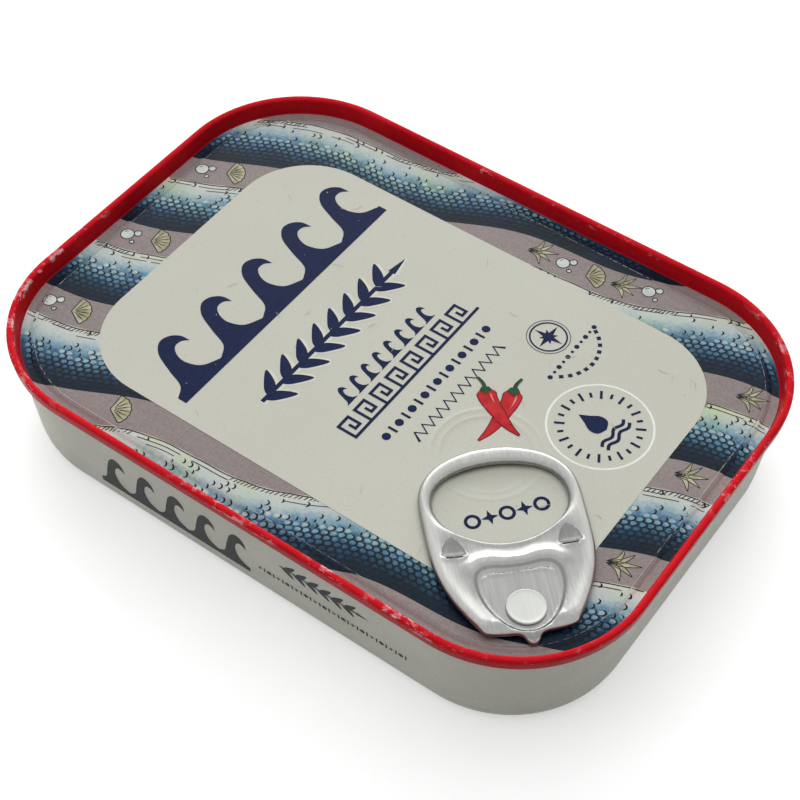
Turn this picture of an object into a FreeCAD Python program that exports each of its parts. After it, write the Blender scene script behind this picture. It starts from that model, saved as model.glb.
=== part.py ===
"""Shallow oblong fish tin, shut: drawn body, seamed easy-open end, pull tab and rivet.

Millimetres.  The tin stands on its foot: the origin is the middle of the footprint on the
ground, +X runs along the long side and +Z up.  The tab lies across one corner of the end,
turned so that its nose points into that corner.
"""
import FreeCAD, Part
import math
import os
import Sketcher

DOC = FreeCAD.newDocument("fish_tin")
XY_PLANE, XZ_PLANE = "XY_Plane", "XZ_Plane"
TOLERANCE = 1e-3

# ---------------------------------------------------------------- driving sizes
SIZES = {
    # the whole tin
    "tin_length": 105.0,
    "tin_width": 76.5,
    "tin_height": 20.0,
    "seam_corner": 20.5,
    # drawn body: its wall leans in towards the foot
    "wall_lean": 1.5,
    "foot_round": 3.0,
    "mouth_wall": 0.2,
    "base_rim": 5.0,
    "base_recess": 0.7,
    # double seam that holds the end on
    "seam_height": 2.3,
    "seam_thickness": 1.1,
    "seam_top_round": 0.45,
    "seam_lip_round": 0.3,
    "seam_hem_round": 0.5,
    # recessed end: chuck wall, countersink and raised panel
    "chuck_lean": 0.45,
    "sink_depth": 2.6,
    "panel_inset": 3.4,
    "panel_rise": 0.25,
    "plug_depth": 0.8,
    "well_radius": 8.0,
    "well_depth": 0.2,
    # where the tab is riveted: how far in from the seam's corner arc, and which way from
    # that arc's centre, and how the tab is turned
    "rivet_inset": 9.1,
    "rivet_bearing": -48.0,
    "tab_turn": -45.0,
    # tab outline, along its own axis from the rivet: minus is the ring, plus is the nose
    "ring_end": 26.1,
    "ring_end_radius": 15.7,
    "shoulder_radius": 7.4,
    "tab_half_width": 11.2,
    "flank_radius": 22.7,
    "flank_start": 11.0,
    "ear_place": 3.35,
    "nose_place": 4.3,
    "nose_radius": 1.3,
    # tab sheet, standing off the panel, and the curled edge round it
    "tab_standoff": 0.55,
    "tab_sheet": 0.8,
    "curl_diameter": 1.7,
    "curl_lift": 0.1,
    # finger hole: an oval of three radii
    "hole_end": 23.7,
    "hole_end_radius": 13.5,
    "hole_front": 10.15,
    "hole_front_radius": 11.45,
    "hole_side_radius": 5.6,
    # tongue under the rivet: a cup pressed down onto the panel
    "tongue_radius": 5.2,
    "tongue_back": 5.6,
    "tongue_front": 3.4,
    "tongue_sheet": 0.75,
    "cup_wall": 0.6,
    # stiffening ridge round the tongue
    "ridge_back": 7.4,
    "ridge_half_width": 6.3,
    "ridge_turn": 2.2,
    "ridge_front": 0.5,
    "ridge_radius": 0.75,
    # two lanced slots beside the ridge
    "slot_place": 8.8,
    "slot_offset": 7.9,
    "slot_length": 2.6,
    "slot_width": 0.5,
    # rivet
    "stem_radius": 1.6,
    "head_radius": 2.65,
    "head_height": 0.45,
    "head_round": 0.2,
}

sheet = DOC.addObject("Spreadsheet::Sheet", "Sizes")
for row, (alias, size) in enumerate(SIZES.items(), start=1):
    sheet.set(f"A{row}", alias)
    sheet.set(f"B{row}", str(size))
    sheet.setAlias(f"B{row}", alias)
DOC.recompute()


def expr(text):
    """An expression for the document, in which {name} stands for a driving size."""
    return text.format(**{alias: f"Sizes.{alias}" for alias in SIZES})


def value(text):
    """The number that an expression gives now, for a sketch's first geometry."""
    return float(sheet.evalExpression(expr(text)))


# Levels above the ground that several pieces share.
SEAM_FOOT = "({tin_height} - {seam_height})"
SINK_LEVEL = "({tin_height} - {sink_depth})"
PANEL_LEVEL = f"({SINK_LEVEL} + {{panel_rise}})"
TONGUE_TOP = f"({PANEL_LEVEL} + {{tongue_sheet}})"
TAB_FOOT = f"({PANEL_LEVEL} + {{tab_standoff}})"
TAB_TOP = f"({TAB_FOOT} + {{tab_sheet}})"
CURL_RADIUS = "({curl_diameter} / 2)"
CURL_LEVEL = f"({PANEL_LEVEL} + {{curl_lift}} + {CURL_RADIUS})"

# The rivet's place, measured from the seam's corner so that the tab stays in that corner.
ARC_REACH = "({seam_corner} - {rivet_inset})"
RIVET_X = f"({{tin_length}} / 2 - {{seam_corner}} + {ARC_REACH} * cos({{rivet_bearing}} * 1 deg))"
RIVET_Y = f"({{seam_corner}} - {{tin_width}} / 2 + {ARC_REACH} * sin({{rivet_bearing}} * 1 deg))"


def inset_outline(inset):
    """Length, width and corner radius of the seam's outline moved in by an inset."""
    length = f"({{tin_length}} - 2 * ({inset}))"
    width = f"({{tin_width}} - 2 * ({inset}))"
    return length, width, f"({{seam_corner}} - ({inset}))"


# ---------------------------------------------------------------- sketch helpers
def origin_plane(body, role):
    return next(plane for plane in body.Origin.OriginFeatures if plane.Role == role)


def new_sketch(body, name, level="0", plane=XY_PLANE):
    """An empty sketch on one of the body's own origin planes, lifted to a level."""
    sketch = body.newObject("Sketcher::SketchObject", name)
    sketch.AttachmentSupport = (origin_plane(body, plane), [""])
    sketch.MapMode = "FlatFace"
    sketch.setExpression("AttachmentOffset.Base.z", expr(level))
    return sketch


def dimension(sketch, name, size, kind, *where):
    """A named dimension of a sketch, bound to an expression."""
    sketch.addConstraint(Sketcher.Constraint(kind, *where, value(size)))
    sketch.renameConstraint(sketch.ConstraintCount - 1, name)
    sketch.setExpression(f"Constraints.{name}", expr(size))


def relate(sketch, kind, *where):
    sketch.addConstraint(Sketcher.Constraint(kind, *where))


def segment(sketch, start, end):
    begin, finish = FreeCAD.Vector(*start, 0), FreeCAD.Vector(*end, 0)
    return sketch.addGeometry(Part.LineSegment(begin, finish), False)


def arc(sketch, centre, radius, first, last):
    """An arc drawn anticlockwise between two angles in degrees."""
    circle = Part.Circle(FreeCAD.Vector(*centre, 0), FreeCAD.Vector(0, 0, 1), radius)
    return sketch.addGeometry(
        Part.ArcOfCircle(circle, math.radians(first), math.radians(last)), False
    )


def rounded_rectangle(body, name, outline, level):
    """A sketch of a rectangle with round corners, centred on the origin."""
    sketch = new_sketch(body, name, level)
    length, width, corner = outline
    x, y, r = value(length) / 2, value(width) / 2, value(corner)
    foot = segment(sketch, (-x + r, -y), (x - r, -y))
    front_right = arc(sketch, (x - r, -y + r), r, 270, 360)
    right = segment(sketch, (x, -y + r), (x, y - r))
    back_right = arc(sketch, (x - r, y - r), r, 0, 90)
    top = segment(sketch, (x - r, y), (-x + r, y))
    back_left = arc(sketch, (-x + r, y - r), r, 90, 180)
    left = segment(sketch, (-x, y - r), (-x, -y + r))
    front_left = arc(sketch, (-x + r, -y + r), r, 180, 270)
    loop = [foot, front_right, right, back_right, top, back_left, left, front_left]
    for piece, following in zip(loop, loop[1:] + loop[:1]):
        relate(sketch, "Tangent", piece, 2, following, 1)
    for line in (foot, top):
        relate(sketch, "Horizontal", line)
    for line in (right, left):
        relate(sketch, "Vertical", line)
    for other in (back_right, back_left, front_left):
        relate(sketch, "Equal", front_right, other)
    relate(sketch, "Symmetric", front_left, 3, back_right, 3, -1, 1)
    dimension(sketch, "Length", length, "DistanceX", left, 1, right, 1)
    dimension(sketch, "Width", width, "DistanceY", foot, 2, top, 1)
    dimension(sketch, "Corner", corner, "Radius", front_right)
    return sketch


def circle_sketch(body, name, radius, level, centre=("0", "0")):
    """A sketch of one circle whose centre is held by two expressions."""
    sketch = new_sketch(body, name, level)
    middle = FreeCAD.Vector(value(centre[0]), value(centre[1]), 0)
    ring = sketch.addGeometry(
        Part.Circle(middle, FreeCAD.Vector(0, 0, 1), value(radius)), False
    )
    dimension(sketch, "Radius", radius, "Radius", ring)
    for axis, place in zip("XY", centre):
        dimension(sketch, f"Centre{axis}", place, f"Distance{axis}", -1, 1, ring, 3)
    return sketch


# ---------------------------------------------------------------- feature helpers
def new_body(label):
    body = DOC.addObject("PartDesign::Body", label.title().replace("_", ""))
    body.Label = label
    return body


def extrude(body, kind, sketch, length, flipped=False):
    """A Pad, which goes up, or a Pocket, which goes down, unless it is flipped."""
    feature = body.newObject(f"PartDesign::{kind}", f"{kind}{sketch.Name}")
    feature.Profile = sketch
    feature.setExpression("Length", expr(length))
    feature.Reversed = flipped
    return feature


def round_edges(body, name, radius, chosen):
    """Fillet every edge of the body's last feature that the test picks out."""
    DOC.recompute()
    base = body.Tip
    edges = [f"Edge{k}" for k, edge in enumerate(base.Shape.Edges, start=1) if chosen(edge)]
    fillet = body.newObject("PartDesign::Fillet", name)
    fillet.Base = (base, edges)
    fillet.setExpression("Radius", expr(radius))
    return fillet


def lies_at(level):
    """A test for edges that lie flat at one level."""
    height = value(level)

    def chosen(edge):
        box = edge.BoundBox
        return max(abs(box.ZMin - height), abs(box.ZMax - height)) < TOLERANCE

    return chosen


def lies_on(level, inset):
    """A test for edges at one level that belong to the seam's outline moved in by an inset."""
    at_level = lies_at(level)
    half_length = value("{tin_length}") / 2 - value(inset)
    half_width = value("{tin_width}") / 2 - value(inset)

    def chosen(edge):
        box = edge.BoundBox
        along = max(abs(box.XMin), abs(box.XMax)) - half_length
        across = max(abs(box.YMin), abs(box.YMax)) - half_width
        return at_level(edge) and min(abs(along), abs(across)) < TOLERANCE

    return chosen


# ---------------------------------------------------------------- can_body
def build_can_body():
    """Drawn body with its contents, one shut solid: leaning wall, round foot, open mouth."""
    body = new_body("can_body")
    shoulder = rounded_rectangle(
        body, "ShoulderOutline", inset_outline("{seam_thickness}"), SEAM_FOOT
    )
    wall = extrude(body, "Pad", shoulder, SEAM_FOOT, flipped=True)
    wall.setExpression("TaperAngle", expr(f"-atan({{wall_lean}} / {SEAM_FOOT})"))
    round_edges(body, "FootRound", "{foot_round}", lies_at("0"))
    base_inset = "{seam_thickness} + {wall_lean} + {base_rim}"
    base = rounded_rectangle(body, "BaseOutline", inset_outline(base_inset), "0")
    extrude(body, "Pocket", base, "{base_recess}", flipped=True)
    mouth = rounded_rectangle(
        body, "MouthOutline", inset_outline("{seam_thickness} + {mouth_wall}"), SEAM_FOOT
    )
    extrude(body, "Pocket", mouth, "{plug_depth}")
    return body


# ---------------------------------------------------------------- lid
def build_lid():
    """Easy-open end: double seam, chuck wall, countersink, raised panel, finger well."""
    body = new_body("lid")
    seam = rounded_rectangle(body, "SeamOutline", inset_outline("0"), SEAM_FOOT)
    extrude(body, "Pad", seam, "{seam_height}")
    plug = rounded_rectangle(
        body, "PlugOutline", inset_outline("{seam_thickness} + {mouth_wall}"), SEAM_FOOT
    )
    extrude(body, "Pad", plug, "{plug_depth}", flipped=True)
    lip = rounded_rectangle(
        body, "LipOutline", inset_outline("{seam_thickness}"), "{tin_height}"
    )
    chuck = rounded_rectangle(
        body, "ChuckOutline", inset_outline("{seam_thickness} + {chuck_lean}"), SINK_LEVEL
    )
    recess = body.newObject("PartDesign::SubtractiveLoft", "Recess")
    recess.Profile = chuck
    recess.Sections = [lip]
    recess.Ruled = True
    panel = rounded_rectangle(body, "PanelOutline", inset_outline("{panel_inset}"), SINK_LEVEL)
    extrude(body, "Pad", panel, "{panel_rise}")
    well = circle_sketch(
        body,
        "FingerWell",
        "{well_radius}",
        PANEL_LEVEL,
        (
            f"({RIVET_X} - {{ring_end}} * cos({{tab_turn}} * 1 deg))",
            f"({RIVET_Y} - {{ring_end}} * sin({{tab_turn}} * 1 deg))",
        ),
    )
    extrude(body, "Pocket", well, "{well_depth}")
    round_edges(body, "SeamTopRound", "{seam_top_round}", lies_on("{tin_height}", "0"))
    lip_edges = lies_on("{tin_height}", "{seam_thickness}")
    round_edges(body, "SeamLipRound", "{seam_lip_round}", lip_edges)
    round_edges(body, "SeamHemRound", "{seam_hem_round}", lies_on(SEAM_FOOT, "0"))
    return body


# ---------------------------------------------------------------- pull_tab
class TabEdge:
    """Numbers of the tab's edge, moved in by an inset: (u, v) is along and across the tab."""

    def __init__(self, inset="0"):
        self.end_r = value(f"{{ring_end_radius}} - {inset}")
        self.end_u = value("{ring_end_radius} - {ring_end}")
        self.wide = value(f"{{tab_half_width}} - {inset}")
        self.shoulder_r = value(f"{{shoulder_radius}} - {inset}")
        self.shoulder_v = self.wide - self.shoulder_r
        reach = math.sqrt((self.end_r - self.shoulder_r) ** 2 - self.shoulder_v**2)
        self.shoulder_u = self.end_u - reach
        self.tilt = math.degrees(math.atan2(self.shoulder_v, reach))
        self.flank_r = value(f"{{flank_radius}} - {inset}")
        self.flank_u = -value("{flank_start}")
        self.flank_v = self.wide - self.flank_r
        self.ear_u = value(f"{{ear_place}} - {inset}")
        self.ear_v = self.flank_v + math.sqrt(self.flank_r**2 - (self.ear_u - self.flank_u) ** 2)
        self.ear_angle = math.degrees(math.asin((self.ear_u - self.flank_u) / self.flank_r))


def dimension_tab_edge(sketch, inset, back, shoulder, side, flank):
    """The dimensions that hold one half of the tab's edge, moved in by an inset."""
    dimension(sketch, "EndRadius", f"({{ring_end_radius}} - {inset})", "Radius", back)
    dimension(sketch, "EndCentre", "({ring_end_radius} - {ring_end})", "DistanceX", -1, 1, back, 3)
    dimension(sketch, "ShoulderRadius", f"({{shoulder_radius}} - {inset})", "Radius", shoulder)
    dimension(sketch, "HalfWidth", f"({{tab_half_width}} - {inset})", "DistanceY", -1, 1, side, 1)
    dimension(sketch, "FlankStart", "(-{flank_start})", "DistanceX", -1, 1, side, 1)
    dimension(sketch, "FlankRadius", f"({{flank_radius}} - {inset})", "Radius", flank)
    dimension(sketch, "Ears", f"({{ear_place}} - {inset})", "DistanceX", -1, 1, flank, 1)


def tab_outline(body, name, level):
    """The tab seen from above: ring end, shoulders, flanks that draw in, ears and nose."""
    sketch = new_sketch(body, name, level)
    edge = TabEdge()
    wide, tilt, ear_angle = edge.wide, edge.tilt, edge.ear_angle
    nose_u, nose_r = value("{nose_place}"), value("{nose_radius}")
    right_shoulder_at = (edge.shoulder_u, -edge.shoulder_v)
    left_shoulder_at = (edge.shoulder_u, edge.shoulder_v)
    back = arc(sketch, (edge.end_u, 0), edge.end_r, 180 - tilt, 180 + tilt)
    right_shoulder = arc(sketch, right_shoulder_at, edge.shoulder_r, 180 + tilt, 270)
    right_side = segment(sketch, (edge.shoulder_u, -wide), (edge.flank_u, -wide))
    right_flank = arc(sketch, (edge.flank_u, -edge.flank_v), edge.flank_r, 270, 270 + ear_angle)
    right_brow = segment(sketch, (edge.ear_u, -edge.ear_v), (nose_u, -nose_r))
    nose = arc(sketch, (nose_u, 0), nose_r, 270, 450)
    left_brow = segment(sketch, (nose_u, nose_r), (edge.ear_u, edge.ear_v))
    left_flank = arc(sketch, (edge.flank_u, edge.flank_v), edge.flank_r, 90 - ear_angle, 90)
    left_side = segment(sketch, (edge.flank_u, wide), (edge.shoulder_u, wide))
    left_shoulder = arc(sketch, left_shoulder_at, edge.shoulder_r, 90, 180 - tilt)
    for piece, following in (
        (back, right_shoulder),
        (right_shoulder, right_side),
        (right_side, right_flank),
        (left_flank, left_side),
        (left_side, left_shoulder),
        (left_shoulder, back),
    ):
        relate(sketch, "Tangent", piece, 2, following, 1)
    for piece, following in (
        (right_flank, right_brow),
        (right_brow, nose),
        (nose, left_brow),
        (left_brow, left_flank),
    ):
        relate(sketch, "Coincident", piece, 2, following, 1)
    relate(sketch, "PointOnObject", back, 3, -1)
    relate(sketch, "Horizontal", right_side)
    relate(sketch, "Horizontal", left_side)
    relate(sketch, "Equal", right_shoulder, left_shoulder)
    relate(sketch, "Symmetric", right_side, 2, left_side, 1, -1)
    relate(sketch, "Symmetric", right_flank, 2, left_flank, 1, -1)
    relate(sketch, "Symmetric", right_brow, 2, left_brow, 1, -1)
    relate(sketch, "Vertical", nose, 3, nose, 1)
    dimension_tab_edge(sketch, "0", back, left_shoulder, left_side, left_flank)
    dimension(sketch, "NosePlace", "{nose_place}", "DistanceX", -1, 1, nose, 3)
    dimension(sketch, "NoseRadius", "{nose_radius}", "Radius", nose)
    return sketch


def hole_outline(body, name, level):
    """The finger hole: a flat end arc, a flat front arc and two tight side arcs."""
    sketch = new_sketch(body, name, level)
    end, end_r = value("{hole_end}"), value("{hole_end_radius}")
    front, front_r = value("{hole_front}"), value("{hole_front_radius}")
    side_r = value("{hole_side_radius}")
    end_u, front_u = end_r - end, -front - front_r
    gap, reach_end, reach_front = end_u - front_u, end_r - side_r, front_r - side_r
    along = (gap**2 + reach_end**2 - reach_front**2) / (2 * gap)
    across = math.sqrt(reach_end**2 - along**2)
    side_u = end_u - along
    end_tilt = math.degrees(math.atan2(across, along))
    front_tilt = math.degrees(math.atan2(across, side_u - front_u))
    back = arc(sketch, (end_u, 0), end_r, 180 - end_tilt, 180 + end_tilt)
    right = arc(sketch, (side_u, -across), side_r, 180 + end_tilt, 360 - front_tilt)
    nose_side = arc(sketch, (front_u, 0), front_r, -front_tilt, front_tilt)
    left = arc(sketch, (side_u, across), side_r, front_tilt, 180 - end_tilt)
    loop = [back, right, nose_side, left]
    for piece, following in zip(loop, loop[1:] + loop[:1]):
        relate(sketch, "Tangent", piece, 2, following, 1)
    relate(sketch, "PointOnObject", back, 3, -1)
    relate(sketch, "PointOnObject", nose_side, 3, -1)
    relate(sketch, "Equal", right, left)
    dimension(sketch, "EndRadius", "{hole_end_radius}", "Radius", back)
    dimension(sketch, "FrontRadius", "{hole_front_radius}", "Radius", nose_side)
    dimension(sketch, "SideRadius", "{hole_side_radius}", "Radius", left)
    dimension(sketch, "EndCentre", "({hole_end_radius} - {hole_end})", "DistanceX", -1, 1, back, 3)
    front_centre = "(-{hole_front} - {hole_front_radius})"
    dimension(sketch, "FrontCentre", front_centre, "DistanceX", -1, 1, nose_side, 3)
    return sketch


def tongue_outline(body, name, margin, level):
    """A letter U: a straight back, straight sides and a round front about the rivet."""
    sketch = new_sketch(body, name, level)
    radius = f"({{tongue_radius}} + {margin})"
    centre = f"({{tongue_front}} + {margin} - {radius})"
    r, centre_u, back_u = value(radius), value(centre), -value("{tongue_back}")
    back = segment(sketch, (back_u, r), (back_u, -r))
    right = segment(sketch, (back_u, -r), (centre_u, -r))
    front = arc(sketch, (centre_u, 0), r, -90, 90)
    left = segment(sketch, (centre_u, r), (back_u, r))
    relate(sketch, "Coincident", left, 2, back, 1)
    relate(sketch, "Coincident", back, 2, right, 1)
    relate(sketch, "Tangent", right, 2, front, 1)
    relate(sketch, "Tangent", front, 2, left, 1)
    relate(sketch, "Vertical", back)
    relate(sketch, "Horizontal", right)
    relate(sketch, "Horizontal", left)
    relate(sketch, "PointOnObject", front, 3, -1)
    dimension(sketch, "FrontRadius", radius, "Radius", front)
    dimension(sketch, "FrontCentre", centre, "DistanceX", -1, 1, front, 3)
    dimension(sketch, "Back", "(-{tongue_back})", "DistanceX", -1, 1, back, 1)
    return sketch


def curl_path(body, name, level):
    """Half the middle line of the curled edge, from the ring's end round to one ear."""
    sketch = new_sketch(body, name, level)
    edge = TabEdge(CURL_RADIUS)
    shoulder_at = (edge.shoulder_u, edge.shoulder_v)
    back = arc(sketch, (edge.end_u, 0), edge.end_r, 180 - edge.tilt, 180)
    shoulder = arc(sketch, shoulder_at, edge.shoulder_r, 90, 180 - edge.tilt)
    side = segment(sketch, (edge.flank_u, edge.wide), (edge.shoulder_u, edge.wide))
    flank = arc(sketch, (edge.flank_u, edge.flank_v), edge.flank_r, 90 - edge.ear_angle, 90)
    relate(sketch, "Tangent", shoulder, 2, back, 1)
    relate(sketch, "Tangent", side, 2, shoulder, 1)
    relate(sketch, "Tangent", flank, 2, side, 1)
    relate(sketch, "PointOnObject", back, 3, -1)
    relate(sketch, "PointOnObject", back, 2, -1)
    relate(sketch, "Horizontal", side)
    dimension_tab_edge(sketch, CURL_RADIUS, back, shoulder, side, flank)
    return sketch


def ridge_path(body, name, level):
    """Half the middle line of the ridge: across behind the tongue, then down one side."""
    sketch = new_sketch(body, name, level)
    back_u, wide = -value("{ridge_back}"), value("{ridge_half_width}")
    turn, front_u = value("{ridge_turn}"), -value("{ridge_front}")
    across = segment(sketch, (back_u, 0), (back_u, wide - turn))
    corner = arc(sketch, (back_u + turn, wide - turn), turn, 90, 180)
    down = segment(sketch, (back_u + turn, wide), (front_u, wide))
    relate(sketch, "Tangent", across, 2, corner, 2)
    relate(sketch, "Tangent", corner, 1, down, 1)
    relate(sketch, "Vertical", across)
    relate(sketch, "Horizontal", down)
    relate(sketch, "PointOnObject", across, 1, -1)
    dimension(sketch, "Back", "(-{ridge_back})", "DistanceX", -1, 1, across, 1)
    dimension(sketch, "HalfWidth", "{ridge_half_width}", "DistanceY", -1, 1, down, 1)
    dimension(sketch, "Turn", "{ridge_turn}", "Radius", corner)
    dimension(sketch, "Front", "(-{ridge_front})", "DistanceX", -1, 1, down, 2)
    return sketch


def sweep_half_and_mirror(body, name, path, radius, start, level):
    """Sweep a round section along half a path from the tab's axis, then mirror it."""
    section = new_sketch(body, f"{name}Section", "0", XZ_PLANE)
    middle = FreeCAD.Vector(value(start), value(level), 0)
    ring = section.addGeometry(
        Part.Circle(middle, FreeCAD.Vector(0, 0, 1), value(radius)), False
    )
    dimension(section, "Radius", radius, "Radius", ring)
    dimension(section, "Place", start, "DistanceX", -1, 1, ring, 3)
    dimension(section, "Level", level, "DistanceY", -1, 1, ring, 3)
    DOC.recompute()
    pipe = body.newObject("PartDesign::AdditivePipe", name)
    pipe.Profile = section
    pipe.Spine = (path, [f"Edge{k}" for k in range(1, len(path.Shape.Edges) + 1)])
    DOC.recompute()
    mirror = body.newObject("PartDesign::Mirrored", f"{name}Mirrored")
    mirror.Originals = [pipe]
    mirror.MirrorPlane = (origin_plane(body, XZ_PLANE), [""])
    body.Tip = mirror
    DOC.recompute()
    return mirror


def slot_sketch(body, name, level):
    """Two short slots, one each side of the tab's axis."""
    sketch = new_sketch(body, name, level)
    place, offset = -value("{slot_place}"), value("{slot_offset}")
    half_length, half_width = value("{slot_length} / 2"), value("{slot_width} / 2")
    for side, sign in (("Left", 1), ("Right", -1)):
        low, high = sign * offset - half_length, sign * offset + half_length
        corners = [
            (place - half_width, low),
            (place + half_width, low),
            (place + half_width, high),
            (place - half_width, high),
        ]
        lines = [segment(sketch, a, b) for a, b in zip(corners, corners[1:] + corners[:1])]
        for line, following in zip(lines, lines[1:] + lines[:1]):
            relate(sketch, "Coincident", line, 2, following, 1)
        for line in lines[0::2]:
            relate(sketch, "Horizontal", line)
        for line in lines[1::2]:
            relate(sketch, "Vertical", line)
        dimension(sketch, f"{side}Width", "{slot_width}", "DistanceX", lines[0], 1, lines[0], 2)
        dimension(sketch, f"{side}Length", "{slot_length}", "DistanceY", lines[1], 1, lines[1], 2)
        start_u = "(-{slot_place} - {slot_width} / 2)"
        start_v = f"({sign} * {{slot_offset}} - {{slot_length}} / 2)"
        dimension(sketch, f"{side}Place", start_u, "DistanceX", -1, 1, lines[0], 1)
        dimension(sketch, f"{side}Offset", start_v, "DistanceY", -1, 1, lines[0], 1)
    return sketch


def seat_on_panel(body):
    """Put a piece drawn about the rivet where the rivet is, turned as the tab is."""
    body.setExpression("Placement.Base.x", expr(RIVET_X))
    body.setExpression("Placement.Base.y", expr(RIVET_Y))
    body.Placement.Rotation = FreeCAD.Rotation(FreeCAD.Vector(0, 0, 1), SIZES["tab_turn"])
    body.setExpression("Placement.Rotation.Angle", expr("{tab_turn} * 1 deg"))


def build_pull_tab():
    """Pull tab of folded sheet: sheet with finger hole, curled edge, ridge, tongue cup."""
    body = new_body("pull_tab")
    extrude(body, "Pad", tab_outline(body, "TabOutline", TAB_FOOT), "{tab_sheet}")
    cup = tongue_outline(body, "CupOutline", "{cup_wall}", PANEL_LEVEL)
    extrude(body, "Pad", cup, "({tab_standoff} + {tab_sheet})")
    curl = curl_path(body, "CurlPath", CURL_LEVEL)
    ring_middle = f"(-{{ring_end}} + {CURL_RADIUS})"
    sweep_half_and_mirror(body, "Curl", curl, CURL_RADIUS, ring_middle, CURL_LEVEL)
    ridge = ridge_path(body, "RidgePath", TAB_TOP)
    sweep_half_and_mirror(body, "Ridge", ridge, "{ridge_radius}", "(-{ridge_back})", TAB_TOP)
    tongue = tongue_outline(body, "TongueOutline", "0", "{tin_height}")
    extrude(body, "Pocket", tongue, f"({{tin_height}} - {TONGUE_TOP})")
    for opening in (hole_outline, slot_sketch):
        cutter = opening(body, opening.__name__.title().replace("_", ""), "{tin_height}")
        extrude(body, "Pocket", cutter, f"({{tin_height}} - {PANEL_LEVEL})")
    stem = circle_sketch(body, "StemHole", "{stem_radius}", TONGUE_TOP)
    extrude(body, "Pocket", stem, "{tongue_sheet}")
    seat_on_panel(body)
    return body


# ---------------------------------------------------------------- rivet
def build_rivet():
    """Button rivet drawn up out of the panel and flattened over the tongue."""
    body = new_body("rivet")
    stem = circle_sketch(body, "Stem", "{stem_radius}", PANEL_LEVEL)
    extrude(body, "Pad", stem, "({tongue_sheet} + {head_height})")
    head = circle_sketch(body, "Head", "{head_radius}", TONGUE_TOP)
    extrude(body, "Pad", head, "{head_height}")
    round_edges(body, "HeadRound", "{head_round}", lies_at(f"({TONGUE_TOP} + {{head_height}})"))
    seat_on_panel(body)
    return body


# ---------------------------------------------------------------- build, check, write
bodies = [build_can_body(), build_lid(), build_pull_tab(), build_rivet()]
DOC.recompute()

faults = [
    f"{item.Label}: {', '.join(item.State)}"
    for item in DOC.Objects
    if {"Invalid", "Error"} & set(item.State)
]
for body in bodies:
    shape = body.Shape
    if shape.isNull() or not shape.isValid() or len(shape.Solids) != 1:
        faults.append(f"{body.Label}: not one valid solid")
if faults:
    raise RuntimeError("; ".join(faults))

os.makedirs("parts", exist_ok=True)
for body in bodies:
    body.Shape.exportStep(f"parts/{body.Label}.step")
    box = body.Shape.optimalBoundingBox()
    print(
        f"{body.Label}: {body.Shape.Volume:.1f} mm3, x {box.XMin:.2f}..{box.XMax:.2f}, "
        f"y {box.YMin:.2f}..{box.YMax:.2f}, z {box.ZMin:.2f}..{box.ZMax:.2f}"
    )
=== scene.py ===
import math
import random

import bmesh
import bpy
import numpy as np
from mathutils import Matrix, Vector, geometry


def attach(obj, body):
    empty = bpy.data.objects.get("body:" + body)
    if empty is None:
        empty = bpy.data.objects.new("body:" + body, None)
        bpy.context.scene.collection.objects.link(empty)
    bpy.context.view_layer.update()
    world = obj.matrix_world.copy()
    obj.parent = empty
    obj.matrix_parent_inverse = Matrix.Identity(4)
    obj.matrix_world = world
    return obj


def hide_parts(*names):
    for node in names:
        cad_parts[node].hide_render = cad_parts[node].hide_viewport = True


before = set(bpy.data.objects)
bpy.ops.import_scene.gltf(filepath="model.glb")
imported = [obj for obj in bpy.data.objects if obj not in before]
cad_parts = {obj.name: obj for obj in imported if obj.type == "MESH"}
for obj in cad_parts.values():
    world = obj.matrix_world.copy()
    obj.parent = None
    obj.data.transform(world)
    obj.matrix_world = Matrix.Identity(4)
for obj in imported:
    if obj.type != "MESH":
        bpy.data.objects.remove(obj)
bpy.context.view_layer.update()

MM = 0.001

# ------------------------------------------------------------------------------ drawn body
# The cup that holds the fish: thin aluminium drawn in one piece, with a wall that leans in
# towards a rounded foot, a flat rim to stand on and a pressed base. It is lacquered putty
# grey outside, and its lip is folded up inside the seam.
TIN_LENGTH, TIN_WIDTH, TIN_CORNER = 105.0, 76.5, 20.5
SEAM_TOP, SEAM_FOOT, SEAM_SHEETS = 20.0, 17.7, 1.1
WALL_LEAN, FOOT_ROUND, BASE_RISE = 1.5, 3.0, 0.7
WALL_BEAD_LEVEL, WALL_BEAD_HALF, WALL_BEAD_DEPTH = 3.4, 0.9, 0.12
CORNER_STEPS, LONG_STEPS, SHORT_STEPS = 28, 60, 36


def round_the_tin():
    """Corner centre and outward direction for each point of a loop round the tin."""
    half_x, half_y = TIN_LENGTH / 2 - TIN_CORNER, TIN_WIDTH / 2 - TIN_CORNER
    corners = [(half_x, half_y), (-half_x, half_y), (-half_x, -half_y), (half_x, -half_y)]
    centres, ways = [], []
    for k, (x, y) in enumerate(corners):
        for step in range(CORNER_STEPS):
            turn = math.pi / 2 * (k + step / CORNER_STEPS)
            centres.append((x, y))
            ways.append((math.cos(turn), math.sin(turn)))
        turn = math.pi / 2 * (k + 1)
        next_x, next_y = corners[(k + 1) % 4]
        steps = LONG_STEPS if k % 2 == 0 else SHORT_STEPS
        for step in range(steps):
            share = step / steps
            centres.append((x + (next_x - x) * share, y + (next_y - y) * share))
            ways.append((math.cos(turn), math.sin(turn)))
    return np.array(centres), np.array(ways)


LOOP_CENTRES, LOOP_WAYS = round_the_tin()


def loop_at(inset):
    """The seam's outer edge moved in by an inset, as points in millimetres."""
    return LOOP_CENTRES + LOOP_WAYS * (TIN_CORNER - inset)


def reach_out(place, reach, turn):
    """The point at a distance from a place, in the direction of a turn."""
    return place[0] + reach * math.cos(turn), place[1] + reach * math.sin(turn)


def on_circle(centre, radius, turns):
    """The points of a circle at the given turns."""
    return [reach_out(centre, radius, turn) for turn in turns]


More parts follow.
